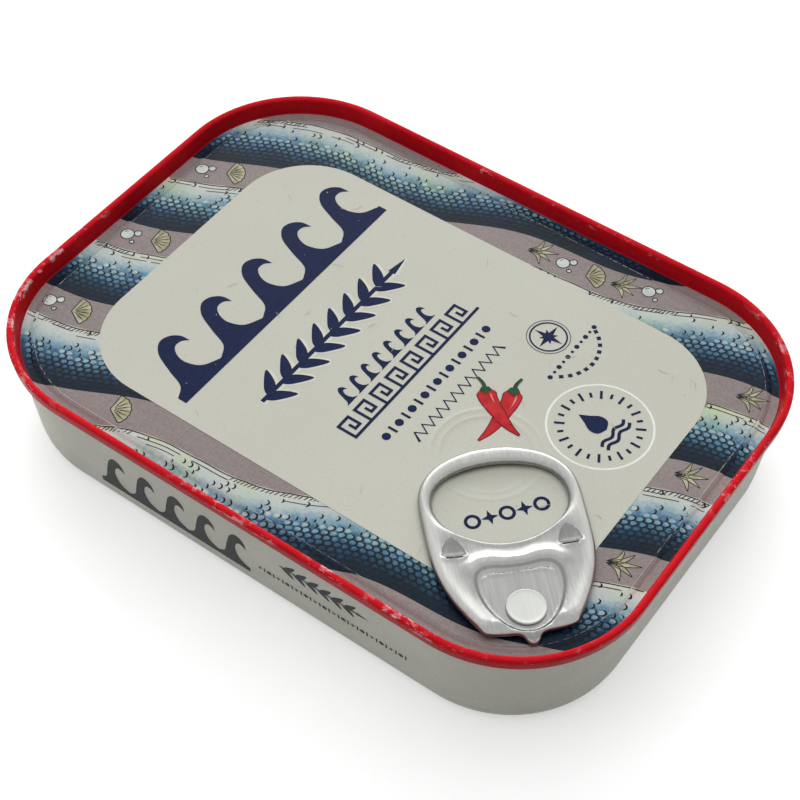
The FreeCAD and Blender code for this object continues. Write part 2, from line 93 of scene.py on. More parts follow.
def bend(centre, radius, start, end, steps):
    """Points of a round bend in a profile of (inset, level), between two angles in degrees."""
    return on_circle(centre, radius, np.radians(np.linspace(start, end, steps + 1)))


def new_object(name, data):
    piece = bpy.data.objects.new(name, data)
    bpy.context.scene.collection.objects.link(piece)
    return piece


def put_together(name, points, faces, paints, face_paints=None):
    """A mesh piece from points in millimetres, smooth, painted and riding on the tin."""
    mesh = bpy.data.meshes.new(name)
    mesh.from_pydata([tuple(float(c) * MM for c in p) for p in points], [], faces)
    for paint in paints:
        mesh.materials.append(paint)
    if face_paints is not None:
        mesh.polygons.foreach_set("material_index", face_paints)
    mesh.polygons.foreach_set("use_smooth", [True] * len(mesh.polygons))
    mesh.update()
    piece = new_object(name, mesh)
    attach(piece, "root")
    return piece


def join_rows(rows, count, start=0):
    """Faces between closed rows of as many points each."""
    faces = []
    for first in range(start, start + (rows - 1) * count, count):
        for k in range(count):
            a, b = first + k, first + (k + 1) % count
            faces.append((a, b, b + count, a + count))
    return faces


def sweep_round(profile, close_first=False):
    """Points and faces of a profile of (inset, level) carried round the tin."""
    count = len(LOOP_CENTRES)
    points = [(x, y, level) for inset, level in profile for x, y in loop_at(inset)]
    faces = join_rows(len(profile), count)
    if close_first:
        faces.append(tuple(range(count))[::-1])
    return points, faces


class Nodes:
    """A node tree, with short ways to add to it."""

    def __init__(self, owner):
        owner.use_nodes = True
        self.tree = owner.node_tree

    def add(self, kind, inputs=None, **settings):
        node = self.tree.nodes.new(kind)
        for name, value in settings.items():
            setattr(node, name, value)
        for socket, value in (inputs or {}).items():
            if isinstance(value, bpy.types.NodeSocket):
                self.tree.links.new(value, node.inputs[socket])
            else:
                node.inputs[socket].default_value = value
        return node

    def math(self, operation, first, second):
        return self.add("ShaderNodeMath", {0: first, 1: second}, operation=operation).outputs[0]


class Paint(Nodes):
    """A node material for one of the tin's surfaces."""

    def __init__(self, name, **settings):
        self.material = bpy.data.materials.new(name)
        super().__init__(self.material)
        self.shader = self.tree.nodes["Principled BSDF"]
        for socket, value in settings.items():
            self.shader.inputs[socket.replace("_", " ")].default_value = value
        self.place = self.add("ShaderNodeTexCoord").outputs["Object"]

    def noise(self, scale, detail=3.0, roughness=0.6, stretch=(1, 1, 1)):
        place = self.add("ShaderNodeMapping", {"Vector": self.place, "Scale": stretch}).outputs[0]
        inputs = {"Vector": place, "Scale": scale, "Detail": detail, "Roughness": roughness}
        return self.add("ShaderNodeTexNoise", inputs).outputs["Fac"]

    def ramp(self, factor, stops):
        """Tones or colours at stops along a factor."""
        node = self.add("ShaderNodeValToRGB", {"Fac": factor})
        ramp = node.color_ramp
        while len(ramp.elements) < len(stops):
            ramp.elements.new(0.5)
        for element, (position, colour) in zip(ramp.elements, stops):
            element.position = position
            grey = isinstance(colour, (int, float))
            element.color = (colour, colour, colour, 1) if grey else (*colour, 1)
        return node.outputs["Color"]

    def mottle(self, scale, *stops, **grain):
        """Tones or colours at stops along a noise."""
        return self.ramp(self.noise(scale, **grain), stops)

    def by_height(self, stops, low=0.0, span=25.0):
        """A ramp whose stops are levels in millimetres, within a span above the lowest."""
        height = self.add("ShaderNodeSeparateXYZ", {0: self.place}).outputs["Z"]
        share = self.math("MULTIPLY", self.math("SUBTRACT", height, low * MM), 1 / (span * MM))
        return self.ramp(share, [((level - low) / span, tone) for level, tone in stops])

    def mix(self, factor, first, second, blend="MIX"):
        inputs = {0: factor, 6: first, 7: second}
        return self.add("ShaderNodeMix", inputs, data_type="RGBA", blend_type=blend).outputs[2]

    def times(self, first, second):
        return self.mix(1.0, first, second, "MULTIPLY")

    def colour(self, socket):
        self.tree.links.new(socket, self.shader.inputs["Base Color"])

    def rough(self, socket):
        self.tree.links.new(socket, self.shader.inputs["Roughness"])

    def bump(self, height, distance):
        node = self.add("ShaderNodeBump", {"Height": height, "Distance": distance * MM})
        self.tree.links.new(node.outputs[0], self.shader.inputs["Normal"])

    def varnish(self, scale, low, high, tooth, depth):
        """A roughness that wanders between two values, and a fine relief."""
        self.rough(self.mottle(scale, (0.3, low), (0.7, high)))
        self.bump(self.noise(tooth, detail=2), depth)


def putty_lacquer():
    """Satin putty-grey lacquer: a faint orange peel, fine specks and slow drifts of tone."""
    paint = Paint("putty_lacquer", Roughness=0.42, Specular_IOR_Level=0.35)
    tones = (0.3, (0.535, 0.537, 0.462)), (0.7, (0.585, 0.587, 0.510))
    tone = paint.mottle(60, *tones, detail=2, stretch=(1, 1, 2.5))
    specks = paint.mottle(2600, (0.30, 0.86), (0.46, 1.0), detail=2)
    paint.colour(paint.times(tone, specks))
    paint.varnish(420, 0.36, 0.50, 900, 0.012)
    return paint.material


body_profile = (
    [(19.5, BASE_RISE)]
    + [(i, BASE_RISE) for i in (17.0, 15.6, 15.2)]
    + [(14.8, BASE_RISE - 0.25), (14.2, BASE_RISE - 0.25), (13.8, BASE_RISE)]
    + [(i, BASE_RISE) for i in (11.0, 8.6, 8.2)]
    + [(7.95, BASE_RISE - 0.08), (7.75, BASE_RISE - 0.3), (7.6, 0.12), (7.45, 0.02)]
    + [(7.2, 0.0), (6.0, 0.0)]
)
foot_inset = SEAM_SHEETS + WALL_LEAN
body_profile += bend((foot_inset + FOOT_ROUND, FOOT_ROUND), FOOT_ROUND, 270, 184, 10)
lean_per_mm = WALL_LEAN / SEAM_FOOT
for level in np.linspace(FOOT_ROUND + 0.1, SEAM_FOOT - 0.35, 46):
    off = (level - WALL_BEAD_LEVEL) / WALL_BEAD_HALF
    groove = WALL_BEAD_DEPTH * math.exp(-off * off * 2.5)
    body_profile.append((foot_inset - lean_per_mm * level + groove, level))
body_profile += [(SEAM_SHEETS + 0.12, SEAM_FOOT - 0.1), (SEAM_SHEETS + 0.2, SEAM_FOOT + 0.2)]
points, faces = sweep_round(body_profile, close_first=True)
body = put_together("drawn_body", points, faces, [putty_lacquer()])
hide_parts("can_body")

# --------------------------------------------------------------------- print on the body
# The front wall carries slate-grey ornament, printed flat on the sheet before the body was
# drawn: a row of rolling waves and, after it, a laurel over a row of beads.
WAVE_FOOT, WAVE_PITCH, BEAD_LEVEL, BEAD_PITCH, PRINT_LEFT = 5.7, 5.52, 7.9, 1.6, -26.7
# HAIR parts shapes that cross; faces thinner than SLIVER are left out
HAIR, SLIVER = 0.002, 1e-7


def full_turn(steps):
    """Even steps round a circle, in radians."""
    return np.linspace(0, 2 * math.pi, steps + 1)[:-1]


def in_a_row(left, pitch, count):
    """The places of equal motifs along a row."""
    return left + pitch * np.arange(count)


def left_of(run):
    """Unit steps to the left of each step of a line."""
    return np.column_stack([-run[:, 1], run[:, 0]]) / np.maximum(np.hypot(*run.T), 1e-9)[:, None]


def middles_of(flat, faces):
    return np.array([flat[list(face)].mean(0) for face in faces])


def only_used(points, faces):
    """The points that the faces use, and the faces renumbered to match."""
    used = sorted({k for face in faces for k in face})
    new = {k: n for n, k in enumerate(used)}
    return points[used], [tuple(new[k] for k in face) for face in faces]


class Plate:
    """One ink's shapes, gathered flat in millimetres and then laid on a surface."""

    def __init__(self):
        self.points, self.faces, self.shape_starts = [], [], []

    def begin(self):
        self.shape_starts.append(len(self.points))
        return len(self.points)

    def fill(self, outline):
        """A filled shape inside a closed outline."""
        start = self.begin()
        self.points += [(float(x), float(y)) for x, y in outline]
        corners = [Vector((x, y, 0)) for x, y in outline]
        for face in geometry.tessellate_polygon([corners]):
            self.faces.append(tuple(start + k for k in face))

    def line(self, path, width, closed=False):
        """A stroke along a path, of one width or of a width at each point."""
        path = np.array(path, float)
        widths = np.broadcast_to(np.asarray(width, float), len(path))
        ahead, behind = np.roll(path, -1, 0), np.roll(path, 1, 0)
        if not closed:
            ahead[-1], behind[0] = path[-1], path[0]
        side = left_of(ahead - behind) * widths[:, None] / 2
        start, count = self.begin(), len(path)
        for a, b in zip(path - side, path + side):
            self.points += [tuple(a), tuple(b)]
        for k in range(count if closed else count - 1):
            a, b = start + 2 * k, start + 2 * ((k + 1) % count)
            self.faces.append((a, b, b + 1, a + 1))

    def disc(self, centre, radius, sides):
        """A filled round spot."""
        start = self.begin()
        self.points += on_circle(centre, radius, full_turn(sides))
        self.faces.append(tuple(range(start, start + sides)))

    def lay(self, name, paint, place, keep=None):
        """Lay the shapes on a surface, each a hair above the one before where they cross."""
        flat = np.array(self.points)
        order = np.searchsorted(self.shape_starts, np.arange(len(flat)), side="right")
        faces = self.faces
        if keep is not None:
            faces = [f for f, good in zip(faces, keep(*middles_of(flat, faces).T)) if good]
        turned = []
        for face in faces:
            x, y = flat[list(face)].T
            area = (x * np.roll(y, -1) - np.roll(x, -1) * y).sum()
            if abs(area) > SLIVER:
                turned.append(face if area > 0 else face[::-1])
        spots, faces = only_used(np.column_stack([flat, HAIR * (order % 6)]), turned)
        return put_together(name, np.column_stack(place(*spots.T)), faces, [paint])


def pass_through(corners, steps):
    """Points on a smooth line from the second corner to the last but one."""
    line = []
    for a, b, c, d in zip(corners, corners[1:], corners[2:], corners[3:]):
        for t in np.linspace(0, 1, steps + 1)[:-1]:
            bend_in = (2 * a - 5 * b + 4 * c - d) * t**2 + (3 * b - a - 3 * c + d) * t**3
            line.append(0.5 * (2 * b + (c - a) * t + bend_in))
    return line


def curve(corners, steps):
    """Points on a smooth open line through a few corners."""
    corners = [np.array(c, float) for c in corners]
    padded = [2 * corners[0] - corners[1]] + corners + [2 * corners[-1] - corners[-2]]
    return np.array(pass_through(padded, steps) + [corners[-1]])


def rolling_wave(plate, left, foot, long, high):
    """One breaking wave: a slope up to a crest that curls over a hollow."""
    back = [(0, 0), (0.21, 0.14), (0.34, 0.48), (0.49, 0.82), (0.68, 0.98), (0.86, 0.95), (0.98, 0.81)]
    tip = [(1.0, 0.62)]
    hollow = [(0.90, 0.72), (0.76, 0.72), (0.65, 0.58), (0.62, 0.38), (0.72, 0.14), (0.98, 0)]
    outline = np.vstack([curve(back + tip, 12)[:-1], curve(tip + hollow, 12)])
    plate.fill(outline * (long, high) + (left, foot))


def laurel(plate, left, middle, pitch, count, high, fatten=0.0):
    """A straight stem with a pair of leaves at each step, fattened for a pale edge."""
    end = left + pitch * (count + 0.55)
    for k in range(count):
        # the stem comes in lengths, so that each leaf lies clear of the one it crosses
        start = left + pitch * k - (fatten / 2 if k == 0 else 0)
        stop = left + pitch * (k + 1) if k < count - 1 else end
        plate.line([(start, middle), (stop, middle)], 0.11 * high + fatten)
        for side in (-1, 1):
            root = np.array((left + pitch * (k + 0.18 + 0.22 * (side > 0)), middle))
            waist, tip = (0.42 * pitch, side * 0.17 * high), (0.92 * pitch, side * 0.5 * high)
            path = curve([root, root + waist, root + tip], 9)
            share = np.linspace(0, 1, len(path))
            leaf = 0.40 * pitch * np.sin(math.pi * share**0.85) ** 0.8
            plate.line(path, leaf + 0.06 * pitch + fatten)
    bud = [(end - 0.2 * pitch, middle), (end + 0.75 * pitch, middle)]
    plate.line(bud, [0.34 * pitch + fatten, 0.05 + fatten / 2])


def slate_ink():
    """Slate-grey ink on the putty lacquer, slightly worn."""
    paint = Paint("slate_ink", Roughness=0.45, Specular_IOR_Level=0.1)
    wear = (0.34, (0.060, 0.062, 0.060)), (0.44, (0.022, 0.024, 0.028))
    paint.colour(paint.mottle(1300, *wear, detail=4, roughness=0.7))
    paint.bump(paint.noise(900, detail=2), 0.01)
    return paint.material


def on_front_wall(x, level, hair):
    """A place on the leaning front wall, just proud of the lacquer."""
    inset = foot_inset - lean_per_mm * level
    return x, -(TIN_WIDTH / 2 - inset) - 0.02 - hair, level


slate = Plate()
for left in in_a_row(PRINT_LEFT, WAVE_PITCH, 5):
    rolling_wave(slate, left, WAVE_FOOT, 5.4, 7.4)
slate.line([(PRINT_LEFT, WAVE_FOOT - 0.5), (0.9, WAVE_FOOT - 0.5)], 1.1)
laurel(slate, 6.9, 12.1, 2.05, 6, 3.1)
for k, bead in enumerate(in_a_row(3.0, BEAD_PITCH, 16)):
    slate.disc((bead, BEAD_LEVEL), 0.42 if k % 2 else 0.28, 12)
    slate.line([(bead + 0.8, BEAD_LEVEL - 0.5), (bead + 0.8, BEAD_LEVEL + 0.5)], 0.26)
slate.lay("wall_print", slate_ink(), on_front_wall)

# ------------------------------------------------------------------- seam and chuck wall
# The end is rolled onto the body in a double seam. The seam and the steep wall inside it,
# where the seaming chuck sits, are lacquered a glossy red that is rubbed through in specks
# on the seam's shoulders.
SINK, PANEL = 17.4, 17.65
CHUCK_LEAN, SINK_ROUND = 0.45, 0.32
TOP_ROUND, LIP_ROUND, HEM_ROUND = 0.40, 0.5, 0.5
# where the seam gets knocked: x, y, how far it spreads, how worn it is
KNOCK_LEVEL = 19.6
KNOCKS = (
    (-52.0, -26.0, 26, 1.0), (47.5, 31.5, 12, 0.7), (-3.5, -38.2, 8, 1.0), (5.0, -38.2, 3.5, 1.0),
    (16.0, -38.2, 4.5, 1.0), (28.0, -38.2, 7, 1.0), (52.0, 8.0, 9, 0.7),
)


def red_lacquer():
    """Glossy red lacquer, thin and pinkish where the seam's shoulders have been rubbed, with painted
    shade that darkens it towards the seam's foot and down the chuck wall.
    """
    paint = Paint("red_lacquer", Roughness=0.27, Specular_IOR_Level=0.035)
    red = paint.mottle(90, (0.3, (0.57, 0.006, 0.013)), (0.7, (0.72, 0.012, 0.022)))
    fine = paint.mottle(1500, (0.35, 0.88), (0.65, 1.0), detail=4)
    # painted shade: the red darkens by height towards the seam's foot and down the chuck wall, where
    # shade falls
    painted_shade = paint.by_height([(17.5, 0.68), (18.5, 0.80), (19.3, 0.84), (19.85, 1.0)])
    red = paint.times(paint.times(red, fine), painted_shade)
    shoulder = paint.by_height([(19.0, 0.0), (19.45, 1.0), (19.92, 1.0), (19.99, 0.1)])
    patches = paint.mottle(26, (0.60, 0.0), (0.74, 0.8), detail=2)
    coarse = {"detail": 5, "roughness": 0.75}
    chips = paint.mottle(520, (0.585, 0.0), (0.635, 1.0), stretch=(1, 1, 2.2), **coarse)
    chips = paint.math("MULTIPLY", chips, patches)
    grazes = paint.mottle(640, (0.535, 0.0), (0.585, 1.0), stretch=(0.5, 0.7, 1.5), **coarse)
    for x, y, reach, level in KNOCKS:
        ends = {0: paint.place, 1: (x * MM, y * MM, KNOCK_LEVEL * MM)}
        away = paint.add("ShaderNodeVectorMath", ends, operation="DISTANCE").outputs["Value"]
        near = paint.ramp(paint.math("MULTIPLY", away, 1 / (reach * MM)), [(0.3, level), (1.0, 0)])
        chips = paint.math("MAXIMUM", chips, paint.math("MULTIPLY", grazes, near))
    worn = paint.math("MULTIPLY", shoulder, chips)
    paint.colour(paint.mix(worn, red, (0.88, 0.56, 0.58, 1)))
    paint.rough(paint.mottle(300, (0.3, 0.20), (0.7, 0.34), detail=4))
    paint.bump(paint.noise(700), 0.010)
    return paint.material


seam_profile = [(SEAM_SHEETS - 0.05, SEAM_FOOT + 0.02)]
seam_profile += bend((0.14 + HEM_ROUND, SEAM_FOOT + HEM_ROUND), HEM_ROUND, 270, 180, 7)
seam_profile += [(0.10, 18.5), (0.05, 18.85), (0.015, 19.15), (0.0, 19.4)]
seam_profile += bend((TOP_ROUND, SEAM_TOP - TOP_ROUND), TOP_ROUND, 180, 90, 8)
lip_centre = (SEAM_SHEETS - LIP_ROUND, SEAM_TOP - LIP_ROUND)
seam_profile += bend(lip_centre, LIP_ROUND, 88, 6, 6)
chuck_foot = SEAM_SHEETS + CHUCK_LEAN
for share in np.linspace(0.08, 1.0, 10):
    level = lip_centre[1] + (SINK + SINK_ROUND - lip_centre[1]) * share
    seam_profile.append((SEAM_SHEETS + (chuck_foot - SEAM_SHEETS) * share, level))
seam_profile += bend((chuck_foot + SINK_ROUND, SINK + SINK_ROUND), SINK_ROUND, 190, 240, 3)
points, faces = sweep_round(seam_profile)
rim = put_together("seam_and_chuck_wall", points, faces, [red_lacquer()])
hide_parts("lid")

# ------------------------------------------------------------------------- printed panel
# The end's sheet inside the chuck wall: a sunk channel, a raised panel with a scored line
# round its edge, and a shallow finger well under the ring. It is printed with a mauve-grey
# ground and rolling bands of sea.
PANEL_EDGE = chuck_foot + SINK_ROUND * (1 + math.cos(math.radians(240)))
RISE_START, RISE_END, SCORE_INSET, SCORE_DEPTH, SCORE_BREADTH = 2.75, 3.45, 3.75, 0.05, 0.07
BURR_AWAY, BURR_BREADTH = 0.16, 0.08
WELL_PLACE, WELL_FLOOR, WELL_RADIUS, WELL_DEPTH = (21.17, -7.77), 5.6, 8.0, 0.16
BEAD_GAP, BEAD_HEIGHT, BEAD_BREADTH = 1.3, 0.06, 0.30
HALF_RUN, BAND_SHARES = 66, (0.15, 0.3, 0.45, 0.6, 0.75, 0.9)
LABEL = (-39.3, 41.9, -28.05, 26.2, 12.2)
SEA_TURN, SEA_PITCH, SEA_BREADTH, SEA_PHASE = math.radians(15), 17.0, 11.4, 5.6
SEA_BANDS, SWELL_HEIGHT, SWELL_LENGTH = range(-5, 5), 1.3, 37.0


def depth_in_field(x, y, half_x, half_y, corner):
    """How far inside a field with round corners a point lies: minus outside it."""
    over_x, over_y = np.abs(x) - (half_x - corner), np.abs(y) - (half_y - corner)
    outside = np.hypot(np.maximum(over_x, 0), np.maximum(over_y, 0))
    return corner - outside - np.minimum(np.maximum(over_x, over_y), 0)


def seam_distance(x, y):
    """How far in from the seam's outer edge a point lies, in millimetres."""
    return depth_in_field(x, y, TIN_LENGTH / 2, TIN_WIDTH / 2, TIN_CORNER)


def swell(distance, width):
    """A soft bump of height 1 across a line."""
    return np.exp(-((distance / width) ** 2))


def smooth_step(value):
    value = np.clip(value, 0, 1)
    return value * value * (3 - 2 * value)


def panel_level(x, y):
    """Level of the end's sheet: curve up from the chuck wall, channel, panel, finger well."""
    inset = seam_distance(x, y)
    level = SINK + (PANEL - SINK) * smooth_step((inset - RISE_START) / (RISE_END - RISE_START))
    round_in = np.clip((chuck_foot + SINK_ROUND - inset) / SINK_ROUND, 0, 1)
    level = level + SINK_ROUND * (1 - np.sqrt(1 - round_in**2))
    level = level + SCORE_DEPTH * swell(inset - SCORE_INSET + BURR_AWAY, BURR_BREADTH)
    level = level - SCORE_DEPTH * swell(inset - SCORE_INSET, SCORE_BREADTH)
    reach = np.hypot(x - WELL_PLACE[0], y - WELL_PLACE[1])
    slope = smooth_step((reach - WELL_FLOOR) / (WELL_RADIUS - WELL_FLOOR))
    over = reach - WELL_RADIUS
    beads = swell(over, BEAD_BREADTH) + swell(over + BEAD_GAP, BEAD_BREADTH)
    return level - WELL_DEPTH * (1 - slope) + BEAD_HEIGHT * beads


def sea_place(x, y):
    """Where a point lies in the sea: along the swell, and across its band from 0 to 1."""
    along = x * math.cos(SEA_TURN) + y * math.sin(SEA_TURN)
    across = -x * math.sin(SEA_TURN) + y * math.cos(SEA_TURN)
    across = across - SWELL_HEIGHT * np.sin(2 * math.pi * along / SWELL_LENGTH) + SEA_PHASE
    band = np.floor(across / SEA_PITCH)
    return along, (across - band * SEA_PITCH) / SEA_BREADTH, band


def from_sea(along, across, band):
    """The point of the panel at a place in the sea: sea_place turned round."""
    across = (across * SEA_BREADTH + band * SEA_PITCH) - SEA_PHASE
    across = across + SWELL_HEIGHT * np.sin(2 * math.pi * along / SWELL_LENGTH)
    x = along * math.cos(SEA_TURN) - across * math.sin(SEA_TURN)
    y = along * math.sin(SEA_TURN) + across * math.cos(SEA_TURN)
    return x, y


def rounded_label(steps=16):
    """The label field's outline."""
    low_x, high_x, low_y, high_y, corner = LABEL
    line = []
    corners = [(high_x, high_y), (low_x, high_y), (low_x, low_y), (high_x, low_y)]
    for k, (x, y) in enumerate(corners):
        centre = (x - math.copysign(corner, x), y - math.copysign(corner, y))
        line += on_circle(centre, corner, math.pi / 2 * (k + np.arange(steps + 1) / steps))
    return line


def label_distance(x, y):
    """How far inside the label field a point lies: minus outside it."""
    low_x, high_x, low_y, high_y, corner = LABEL
    x, y = x - (low_x + high_x) / 2, y - (low_y + high_y) / 2
    return depth_in_field(x, y, (high_x - low_x) / 2, (high_y - low_y) / 2, corner)


def ring_edges(start, count):
    return [(start + k, start + (k + 1) % count) for k in range(count)]


def cut_sheet(outline, rings, dots):
    """Triangles of the sheet inside an outline, cut along rings."""
    spots, edges, faces = list(outline), [], [list(range(len(outline)))]
    for ring in rings:
        edges += ring_edges(len(spots), len(ring))
        spots += ring
    spots = [Vector((float(x), float(y))) for x, y in spots + dots]
    found = geometry.delaunay_2d_cdt(spots, edges, faces, 0, 1e-5)
    flat = np.array([(v.x, v.y) for v in found[0]])
    return flat, [tuple(f) for f, origin in zip(found[2], found[5]) if origin]


def sheet_piece(name, flat, faces, paint, lift=0.0):
    """One ink's faces as a piece that lies on the panel."""
    spots, faces = only_used(flat, faces)
    points = np.column_stack([spots, panel_level(*spots.T) + lift])
    piece = put_together(name, points, faces, [paint])
    return piece


def mauve_ground():
    """Mauve-grey ink on varnished metal, with the fine grain of the print's dots."""
    paint = Paint("mauve_ground", Roughness=0.38, Specular_IOR_Level=0.3)
    tones = (0.3, (0.236, 0.197, 0.192)), (0.7, (0.266, 0.222, 0.215))
    tone = paint.mottle(40, *tones, detail=2)
    grain = paint.mottle(3200, (0.30, 0.84), (0.62, 1.06), detail=1)
    brushed = paint.mottle(900, (0.35, 0.95), (0.65, 1.03), detail=2, stretch=(0.08, 1, 1))
    paint.colour(paint.times(paint.times(tone, grain), brushed))
    paint.varnish(300, 0.30, 0.44, 1100, 0.008)
    return paint.material


SEA_TONES = [
    (0.00, (0.002, 0.007, 0.014)), (0.30, (0.003, 0.014, 0.034)), (0.45, (0.012, 0.055, 0.115)),
    (0.57, (0.085, 0.190, 0.290)), (0.67, (0.240, 0.370, 0.440)), (0.80, (0.460, 0.530, 0.520)),
    (1.00, (0.600, 0.610, 0.540)),
]


def sea_ink():
    """Sea in printed inks, from near black in each band's trough to cream at its crest."""
    paint = Paint("sea_ink", Roughness=0.36, Specular_IOR_Level=0.16)
    depth = paint.add("ShaderNodeAttribute", attribute_name="depth").outputs["Fac"]
    wash, dapple = paint.noise(240, detail=4, roughness=0.7), paint.noise(1700, detail=2)
    for drift, share in ((wash, 0.30), (dapple, 0.22)):
        drift = paint.math("MULTIPLY", paint.math("SUBTRACT", drift, 0.5), share)
        depth = paint.math("ADD", depth, drift)
    tone = paint.ramp(depth, SEA_TONES)
    tint = paint.mottle(130, (0.45, (1, 1, 1)), (0.75, (0.93, 1.0, 0.72)), detail=2)
    paint.colour(paint.times(tone, tint))
    paint.varnish(300, 0.28, 0.42, 1100, 0.006)
    return paint.material


def carry_depth(piece, lighter=0.0):
    """Give each point of a piece its depth in the band, for the sea's ink to read."""
    x, y = (np.array([v.co[n] / MM for v in piece.data.vertices]) for n in (0, 1))
    depth = sea_place(x, y)[1]
    depth = np.where(depth > 1.2, 0.0, depth) + lighter
    piece.data.attributes.new("depth", "FLOAT", "POINT").data.foreach_set("value", depth)


# the sheet is cut along rings where it bends, and along the edges of the bands of sea
channel_insets = (2.0, 2.15, 2.4, 2.75, *np.arange(2.85, 3.5, 0.1), *np.arange(3.5, 3.96, 0.04))
channel_rings = [loop_at(inset).tolist() for inset in channel_insets]
well_reaches = (*np.arange(5.4, 6.2, 0.4), *np.arange(6.2, 9.0, 0.14))
well_rings = [on_circle(WELL_PLACE, reach, full_turn(96)) for reach in well_reaches]
runs = np.linspace(-HALF_RUN, HALF_RUN, 166)
band_rings = [
    [from_sea(a, 0.0, band) for a in runs] + [from_sea(a, 1.0, band) for a in runs[::-1]]
    for band in SEA_BANDS
]
dots = [
    (x, y)
    for x in np.arange(-49, 49.1, 2.0)
    for y in np.arange(-35, 35.1, 2.0)
    if seam_distance(x, y) > 4.4
]
for band in SEA_BANDS:
    for along in np.arange(-HALF_RUN, HALF_RUN, 1.2):
        for across in BAND_SHARES:
            x, y = from_sea(along, across, band)
            if seam_distance(x, y) > 4.1 and label_distance(x, y) < 1:
                dots.append((float(x), float(y)))

panel_line = loop_at(PANEL_EDGE).tolist()
flat, faces = cut_sheet(panel_line, channel_rings + band_rings + well_rings, dots)
in_sea = sea_place(*middles_of(flat, faces).T)[1] < 1
ground_faces = [face for face, wet in zip(faces, in_sea) if not wet]
sheet_piece("panel_ground", flat, ground_faces, mauve_ground())
sea_faces = [face for face, wet in zip(faces, in_sea) if wet]
sea = sheet_piece("sea_print", flat, sea_faces, sea_ink())
carry_depth(sea)

# ------------------------------------------------------------------- lines of the sea print
# Line work printed over the bands of sea: rows of overlapping scales, broken lines and hatching
# along each pale crest, and shells, weed and bubbles on the mauve. The score line shows metal.
SCALE_LONG, SCALE_HIGH, SCALE_COLUMNS = 1.18, 0.86, range(-56, 57)
# lines along a crest: place across the band, width, share of the length that is drawn
CREST_LINES = ((0.985, 0.17, 1.0), (0.925, 0.14, 0.72), (0.865, 0.12, 0.42))
random.seed(7)


def black_ink():
    """Outline ink, a little patchy and glossier than the colours."""
    paint = Paint("black_ink", Roughness=0.38, Specular_IOR_Level=0.16)
    tones = (0.3, (0.012, 0.013, 0.016)), (0.6, (0.006, 0.007, 0.010))
    paint.colour(paint.mottle(1500, *tones, detail=2))
    paint.bump(paint.noise(1100, detail=2), 0.006)
    return paint.material


def plain_ink(name, dark, light, scale=1200):
    """A printed ink between two close tones, with a faint tooth."""
    paint = Paint(name, Roughness=0.4, Specular_IOR_Level=0.10)
    paint.colour(paint.mottle(scale, (0.35, dark), (0.65, light)))
    paint.bump(paint.noise(1100, detail=2), 0.006)
    return paint.material


def on_panel(lift):
    """Places on the panel, a lift above it."""
    return lambda x, y, hair: (x, y, panel_level(x, y) + lift + hair)


def on_open_panel(x, y):
    return (seam_distance(x, y) > 2.0) & (label_distance(x, y) < 0.6)


def lay_on_lid(sheets, place, keep=None):
    """Print several plates on the lid, each at its own lift in millimetres."""
    for plate, name, paint, lift in sheets:
        plate.lay(name, paint, place(lift), keep)


def draw_scale(along, across, band, fade):
    """One scale: a pale spot low in the band, and a dark arc that gets rarer towards the crest."""

    def near(way, long, high):
        up = across + high * math.sin(way) / SEA_BREADTH
        return from_sea(along + long * math.cos(way), up, band)

    if fade < 0.60:
        wobbles = [(turn, 0.40 + 0.05 * math.cos(3 * turn)) for turn in full_turn(8)]
        scale_spots.fill([near(turn, 1.12 * reach, 0.86 * reach) for turn, reach in wobbles])
    chance = 0.9 if fade < 0.5 else 0.62 if fade < 0.68 else 0.16
    if fade > 0.10 and random.random() < chance:
        span = random.uniform(75, 105) if fade < 0.55 else random.uniform(40, 90)
        arc = [near(turn, 0.56, 0.46) for turn in np.radians(np.linspace(-span, span, 7))]
        line_work.line(arc, [0.06, 0.17, 0.25, 0.28, 0.25, 0.17, 0.06])


scale_spots, line_work = Plate(), Plate()
# scales, row by row, then the crest's lines
for band in SEA_BANDS:
    for row in range(int(SEA_BREADTH / SCALE_HIGH)):
        for column in SCALE_COLUMNS:
            along = SCALE_LONG * (column + 0.5 * (row % 2)) + random.uniform(-0.08, 0.08)
            across = (row + 0.5) * SCALE_HIGH / SEA_BREADTH
            x, y = from_sea(along, across, band)
            if seam_distance(x, y) > 1.9 and label_distance(x, y) < 0.8:
                draw_scale(along, across, band, across + random.uniform(-0.07, 0.07))
    for across, thick, share in CREST_LINES:
        along = -HALF_RUN
        while along < HALF_RUN:
            long = random.uniform(3, 8) if share < 1 else 6.0
            if random.random() < share:
                steps = np.arange(along, along + long, 0.5)
                path = [from_sea(a, across + 0.004 * math.sin(a), band) for a in steps]
                if len(path) > 2:
                    line_work.line(path, thick)
            along += long - 0.5 if share == 1 else long + random.uniform(0.5, 2)
    # short strokes across the crest, in stretches
    along = -HALF_RUN
    while along < HALF_RUN:
        if math.sin(along * 0.21 + band * 1.7) > 0.1:
            shares = np.linspace(0, 1, 4)
            path = [from_sea(along + 0.55 * t, 0.925 + 0.06 * t, band) for t in shares]
            line_work.line(path, [0.08, 0.16, 0.14, 0.06])
        along += random.uniform(0.45, 0.8)

spots = scale_spots.lay("scale_spots", sea.data.materials[0], on_panel(0.008), on_open_panel)
carry_depth(spots, lighter=0.15)

shell_fill, shell_lines, bubble_fill = Plate(), Plate(), Plate()


def shell(place, size, turn):
    """A scallop shell: a fan of ribs with a wavy edge."""
    ribs = np.radians(np.linspace(-68, 68, 8)) + turn
    edge = []
    for k, way in enumerate(np.linspace(ribs[0], ribs[-1], 29)):
        reach = size * (1 + 0.05 * abs(math.sin(math.pi * k / 4)))
        edge.append(reach_out(place, reach, way))
    root = reach_out(place, -0.12 * size, turn)
    shell_fill.fill(edge + [root])
    shell_lines.line([root] + edge + [root], 0.15)
    for way in ribs[1:-1]:
        path = [reach_out(place, r, way) for r in np.linspace(0.14 * size, 0.93 * size, 5)]
        shell_lines.line(path, [0.06, 0.12, 0.16, 0.14, 0.06])


